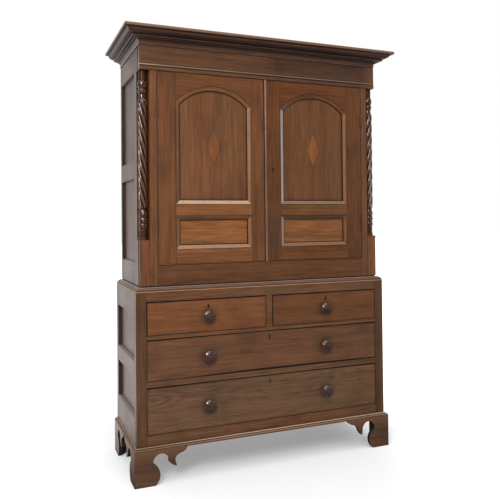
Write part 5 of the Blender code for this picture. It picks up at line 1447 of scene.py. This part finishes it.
def dress_fronts():
    """Finishes of the CAD nodes that show at the front of both cases."""
    tint = finishes()
    edge = span("drawer_middle_front")
    rails = Oak("chest_frame_oak", tint.chest_rails, "x", seed=2.4, upright_base=tint.chest_frame,
                uprights=(edge[0][X] - CLEARANCE, edge[1][X] + CLEARANCE))
    for drawer in DRAWER_GRAIN:
        # painted shade in the gaps round the drawers
        rails.outlined("drawer_" + drawer + "_front", 0.0024)
    # darker towards the right: painted shade where the light falls off
    dress("lower_front_frame", rails.fade(X, 0.30, 0.66, 0.16).done())
    door_box = span("door_left_frame")[0], span("door_right_frame")[1]
    doors = (door_box[0][X] - CLEARANCE, door_box[1][X] + CLEARANCE)
    posts = Oak("post_oak", tint.front_rail, "x", seed=7.7, uprights=doors, upright_base=tint.posts)
    # painted shade in the gap round the doors, and darker towards the right as painted shade
    dress("upper_front_frame", posts.outlined(door_box, 0.0022, 0.75).fade(X, 0.52, 0.60, 0.22).done())
    for name, side in SIDES:
        make_corner_block(name, side)
    for index, (drawer, (rings, oval, ring_depth)) in enumerate(DRAWER_GRAIN.items()):
        node = "drawer_" + drawer
        front = Oak(node + "_oak", getattr(tint, drawer + "_drawer"), "x", seed=index * 3.9 + 1, rings=rings,
                    oval=oval, polish=1.1, contrast=0.85, ring_depth=ring_depth)
        # a soft darker rim, and a black outline of painted shade in the gap round the front
        front.rim(node + "_front", 0.012, 0.30).outlined(node + "_front", 0.0018)
        for knob in KNOBS:
            if knob.startswith(node + "_knob"):
                middle = sum(span(knob)) / 2
                # a dark halo round each knob: dirt of hands, and the knob's painted shade
                front.halo_of_dirt_and_shade((middle[X], LOWER_FACE, middle[Z]), 0.026, 0.078)
        # the black slot is painted shade in place of a cut keyhole
        front.keyhole(*DRAWER_KEYS[drawer], 0.95 if "short" in drawer else 0.65)
        low, high = span(node + "_front")
        # seams: painted shade in the uneven gaps over and under each drawer
        if drawer == "bottom":
            front.cathedral((low[X], low[Z] + 0.150), (0.215, 0.054), 3.0, 0.45, 0.22)
            front.seam(high[Z], -1.0, 0.0012, bend=0.011)
            front.seam(low[Z], 1.0, 0.0012)
        elif drawer == "middle":
            front.seam(high[Z], -1.0, 0.0010, bend=0.010)
            front.seam(low[Z], 1.0, 0.0095, slope=0.0060, bend=-0.026)
        else:
            front.seam(high[Z], -1.0, 0.0030)
            front.seam(low[X], 1.0, 0.0040, upright=True)
        dress(node + "_front", front.done())


def dress_carcase():
    """Finishes of sides, feet, backs and the boards inside."""
    tint = finishes()
    for name, side in SIDES:
        for case, (front, rear) in SIDE_POSTS.items():
            node = case + "_side_" + name
            low, high = span(node)
            outer = max(abs(low[X]), abs(high[X]))
            wood = Oak(node + "_oak", tint.sides, "y", seed=side * 1.7 + len(case), roughness=0.46,
                       uprights=(low[Y] + front, high[Y] - rear), uprights_axis=Y,
                       sunk=outer - PANEL_SUNK)
            # a dark joint line, and painted sheen on the faces that look up
            wood.seam_in_depth(low[Y], 0.0034).dust_and_sheen(UP, 0.85, (0.25, 0.225, 0.215))
            dress(node, wood.done(specular=0.5))
        for end in ("front", "rear"):
            node = "foot_" + end + "_" + name
            wood = Oak(node + "_oak", tint.feet, "x", seed=side * 2.9 + len(end), rings=70, contrast=0.9,
                       turns_corner=True)
            low, high = span(node)
            wood.lighten(wood.grade(Z, high[Z] - 0.060, high[Z]), 0.45, (0.19, 0.080, 0.035))
            outside = [(X, low[X] if side < 0 else high[X]), (Y, low[Y] if end == "front" else high[Y])]
            # inner and cut faces go black: painted shade and the dark of unfinished wood
            dress(node, wood.only_on(outside).done(specular=0.35))
    for index, node in enumerate(("lower_back", "upper_back")):
        wood = Oak(node + "_board", tint.lining, "z", seed=index * 5.0, roughness=0.65, polish=1.4)
        dress(node, wood.done(0.4))
    inside = ("dust_board_bottom", "dust_board_middle", "dust_board_upper", "shelf_lower", "shelf_upper",
              "upper_floor", "upper_ceiling", "drawer_short_left_box", "drawer_short_right_box",
              "drawer_middle_box", "drawer_bottom_box")
    for index, node in enumerate(inside):
        wood = Oak(node + "_wood", tint.lining, "x", seed=index * 1.6, roughness=0.62, polish=0.8)
        dress(node, wood.done(0.4))


def dress_metal():
    """Brass for the hinges and iron for the lock."""
    brass = metal_finish("hinge_brass", finishes().brass, 0.40, 160.0, (0.045, 0.030, 0.018), 0.5)
    iron = metal_finish("lock_iron", finishes().iron, 0.42, 90.0, (0.030, 0.022, 0.018))
    for node in NODES:
        if node.startswith("hinge_"):
            dress(node, brass)
    dress("door_lock", iron)


def floor_material():
    """Pale to soft light, glowing up to the white surround with distance, and darker in gloss.

    In reflections the floor is white behind the piece and dark before it.
    """
    material, kit, shader = new_material("studio_floor")
    shader.inputs["Roughness"].default_value = 0.9
    shader.inputs["Specular IOR Level"].default_value = 0.1
    shader.inputs["Emission Color"].default_value = (1, 1, 1, 1)
    rays = kit.add("ShaderNodeLightPath")
    to_camera, in_gloss = rays.outputs["Is Camera Ray"], rays.outputs["Is Glossy Ray"]
    place = kit.add("ShaderNodeTexCoord").outputs["Object"]
    behind = kit.ramp(kit.add("ShaderNodeSeparateXYZ", {0: place}).outputs[1], -0.3, 0.9)
    mirrored = kit.mix(behind, (0.07, 0.07, 0.07, 1), (0.80, 0.80, 0.80, 1))
    plain = kit.mix(to_camera, (0.78, 0.80, 0.82, 1), (0.603, 0.608, 0.613, 1))
    kit.feed(shader.inputs["Base Color"], kit.mix(in_gloss, plain, mirrored))
    wide = kit.stretch(place, (1.6, 1.0, 1.0))
    away = kit.add("ShaderNodeVectorMath", {0: wide}, operation="LENGTH").outputs["Value"]
    glow = kit.math("MULTIPLY", to_camera, kit.ramp(away, 0.75, 2.3, 0.285, 1.0))
    glow = kit.math("MULTIPLY_ADD", kit.math("MULTIPLY", in_gloss, behind), 0.75, glow)
    kit.feed(shader.inputs["Emission Strength"], glow)
    bump = kit.add("ShaderNodeBump", {"Strength": 0.02, "Distance": 0.001, "Height": kit.noise(place, 40.0)})
    kit.feed(shader.inputs["Normal"], bump.outputs[0])
    return material


# The floor reaches this far each way from the middle, with this many points along each side
FLOOR_REACH = 30
FLOOR_POINTS = 13

# Lamps as (name, place, target, width and height, watts), and the even light from above as
# (name, the way to it, strength, spread in degrees)
LAMPS = (("key_lamp", (-2.2, -2.9, 2.7), (-0.1, -0.2, 1.2), (1.1, 1.4), 84),
         ("right_lamp", (3.6, -2.0, 1.8), (0.0, -0.2, 1.0), (1.6, 2.4), 22))
CEILING_LIGHT = ("ceiling_light", (-0.35, -1.0, 3.2), 1.85, 60)


def make_stage():
    """A pale floor that keeps the shadow, a white surround for the camera, and soft studio lamps."""
    reach = np.linspace(-FLOOR_REACH, FLOOR_REACH, FLOOR_POINTS)
    x, y = np.meshgrid(reach, reach, indexing="ij")
    grid = np.stack((x, y, np.zeros_like(x)), axis=-1)
    mesh = bpy.data.meshes.new("studio_floor")
    quads = grid_quads(FLOOR_POINTS, FLOOR_POINTS, False, False)
    mesh.from_pydata(grid.reshape(-1, 3).tolist(), [], quads.tolist())
    if mesh.polygons[0].normal.z < 0:
        mesh.flip_normals()
    floor = bpy.data.objects.new("studio_floor", mesh)
    bpy.context.scene.collection.objects.link(floor)
    floor.data.materials.append(floor_material())
    make_world()
    for values in LAMPS:
        lamp(*values)
    sun(*CEILING_LIGHT)


def make_world():
    """White to the camera; the glossy surround is white behind the piece and dimmer before it."""
    world = bpy.data.worlds.new("studio")
    bpy.context.scene.world = world
    world.use_nodes = True
    kit = Nodes(world.node_tree)
    out = world.node_tree.nodes["World Output"]
    plain = world.node_tree.nodes["Background"]
    plain.inputs["Color"].default_value = (1, 1, 1, 1)
    plain.inputs["Strength"].default_value = 0.34
    rays = kit.add("ShaderNodeLightPath")
    direction = kit.add("ShaderNodeSeparateXYZ", {0: kit.add("ShaderNodeTexCoord").outputs["Generated"]})
    behind = kit.ramp(direction.outputs[1], 0.0, 0.65, 0.03, 1.0)
    seen = kit.add("ShaderNodeBackground", {"Color": (1, 1, 1, 1), "Strength": 1.0})
    mirrored = kit.add("ShaderNodeBackground", {"Color": (1, 1, 1, 1), "Strength": behind})
    glossy = kit.add("ShaderNodeMixShader", {0: rays.outputs["Is Glossy Ray"], 1: plain.outputs[0],
                                             2: mirrored.outputs[0]})
    final = kit.add("ShaderNodeMixShader", {0: rays.outputs["Is Camera Ray"], 1: glossy.outputs[0],
                                            2: seen.outputs[0]})
    world.node_tree.links.new(final.outputs[0], out.inputs["Surface"])


def lamp(name, place, target, size, power):
    """A rectangular lamp at one place, turned to another."""
    data = bpy.data.lights.new(name, "AREA")
    data.shape = "RECTANGLE"
    data.size, data.size_y = size
    data.energy = power
    made = bpy.data.objects.new(name, data)
    made.location = place
    made.rotation_euler = (Vector(target) - Vector(place)).to_track_quat("-Z", "Y").to_euler()
    bpy.context.scene.collection.objects.link(made)


def sun(name, towards, strength, spread):
    """Even light from a wide part of the ceiling; towards points from the piece to the light."""
    data = bpy.data.lights.new(name, "SUN")
    data.energy = strength
    data.angle = radians(spread)
    made = bpy.data.objects.new(name, data)
    made.rotation_euler = Vector(towards).to_track_quat("Z", "Y").to_euler()
    bpy.context.scene.collection.objects.link(made)


def make_camera():
    """The photograph's viewpoint, fitted to the cupboard's straight edges."""
    place = (-1.194, -2.927, 1.181)
    yaw, pitch, roll = radians(22.142), radians(-0.860), radians(-0.531)
    data = bpy.data.cameras.new("photo_camera")
    data.sensor_width = 36.0
    data.lens = 43.63
    data.shift_x = -0.00226
    data.shift_y = -0.0757
    data.clip_end = 200
    camera = bpy.data.objects.new("photo_camera", data)
    forward = Vector((sin(yaw) * cos(pitch), cos(yaw) * cos(pitch), -sin(pitch)))
    right = Vector((cos(yaw), -sin(yaw), 0))
    up = right.cross(forward)
    turned_right = right * cos(roll) + up * sin(roll)
    turned_up = up * cos(roll) - right * sin(roll)
    turn = Matrix((turned_right, turned_up, -forward)).transposed()
    camera.matrix_world = Matrix.Translation(place) @ turn.to_4x4()
    bpy.context.scene.collection.objects.link(camera)
    bpy.context.scene.camera = camera
    bpy.context.scene.view_settings.view_transform = "Standard"


class OBJECT_OT_cupboard_finishes(bpy.types.Operator):
    """Build the shared node groups: grain, polish, a halo of dirt and painted shade, edges, joints, relief,
    facing, seams, nails
    """
    bl_idname = "object.cupboard_finishes"
    bl_label = "Finish groups"

    def execute(self, context):
        for build in (make_grain_group, make_polish_group, make_dirt_and_shade_group, make_edge_group,
                      make_joint_group, make_relief_group, make_facing_group, make_seam_group,
                      make_nail_group):
            build()
        return {"FINISHED"}


class OBJECT_OT_cupboard_mouldings(bpy.types.Operator):
    """Make the cornice, frieze, waist and base with their full profiles"""
    bl_idname = "object.cupboard_mouldings"
    bl_label = "Mouldings"

    def execute(self, context):
        for build in (make_cornice, make_frieze, make_waist, make_base):
            build()
        return {"FINISHED"}


class OBJECT_OT_cupboard_columns(bpy.types.Operator):
    """Make the two twisted and carved columns"""
    bl_idname = "object.cupboard_columns"
    bl_label = "Columns"

    def execute(self, context):
        make_columns()
        return {"FINISHED"}


class OBJECT_OT_cupboard_knobs(bpy.types.Operator):
    """Make the six turned knobs"""
    bl_idname = "object.cupboard_knobs"
    bl_label = "Knobs"

    def execute(self, context):
        make_knobs()
        return {"FINISHED"}


class OBJECT_OT_cupboard_doors(bpy.types.Operator):
    """Make the door members and mouldings, and finish the panels and inlays"""
    bl_idname = "object.cupboard_doors"
    bl_label = "Doors"

    def execute(self, context):
        make_doors()
        return {"FINISHED"}


class OBJECT_OT_cupboard_carcase(bpy.types.Operator):
    """Finish the fronts, sides, feet, backs and the boards inside"""
    bl_idname = "object.cupboard_carcase"
    bl_label = "Carcase"

    def execute(self, context):
        dress_fronts()
        dress_carcase()
        return {"FINISHED"}


class OBJECT_OT_cupboard_metal(bpy.types.Operator):
    """Finish the brass hinges and the iron lock"""
    bl_idname = "object.cupboard_metal"
    bl_label = "Metal"

    def execute(self, context):
        dress_metal()
        return {"FINISHED"}


class OBJECT_OT_cupboard_stage(bpy.types.Operator):
    """Set the floor, the white surround, the lamps and the camera"""
    bl_idname = "object.cupboard_stage"
    bl_label = "Stage"

    def execute(self, context):
        make_stage()
        make_camera()
        return {"FINISHED"}


OPERATORS = (
    OBJECT_OT_cupboard_finishes, OBJECT_OT_cupboard_mouldings, OBJECT_OT_cupboard_columns,
    OBJECT_OT_cupboard_knobs, OBJECT_OT_cupboard_doors, OBJECT_OT_cupboard_carcase,
    OBJECT_OT_cupboard_metal, OBJECT_OT_cupboard_stage,
)


class VIEW3D_PT_cupboard(bpy.types.Panel):
    """The cupboard's sizes, colours and building steps"""
    bl_label = "Two-part cupboard"
    bl_idname = "VIEW3D_PT_cupboard"
    bl_space_type = "VIEW_3D"
    bl_region_type = "UI"
    bl_category = "Cupboard"

    def draw(self, context):
        layout = self.layout
        for group in (context.scene.cupboard_sizes, context.scene.cupboard_finishes):
            for name in group.__annotations__:
                layout.prop(group, name)
        for operator in OPERATORS:
            layout.operator(operator.bl_idname)


CLASSES = (CupboardSizes, CupboardFinishes) + OPERATORS + (VIEW3D_PT_cupboard,)


def register():
    """Adds the classes to Blender, and the two groups of values to the scene."""
    for made in CLASSES:
        bpy.utils.register_class(made)
    bpy.types.Scene.cupboard_sizes = bpy.props.PointerProperty(type=CupboardSizes)
    bpy.types.Scene.cupboard_finishes = bpy.props.PointerProperty(type=CupboardFinishes)


def unregister():
    """Takes out what register adds."""
    del bpy.types.Scene.cupboard_finishes
    del bpy.types.Scene.cupboard_sizes
    for made in reversed(CLASSES):
        bpy.utils.unregister_class(made)


def main():
    """Runs every building step."""
    register()
    for operator in OPERATORS:
        group, name = operator.bl_idname.split(".")
        getattr(getattr(bpy.ops, group), name)()


if __name__ == "__main__":
    main()
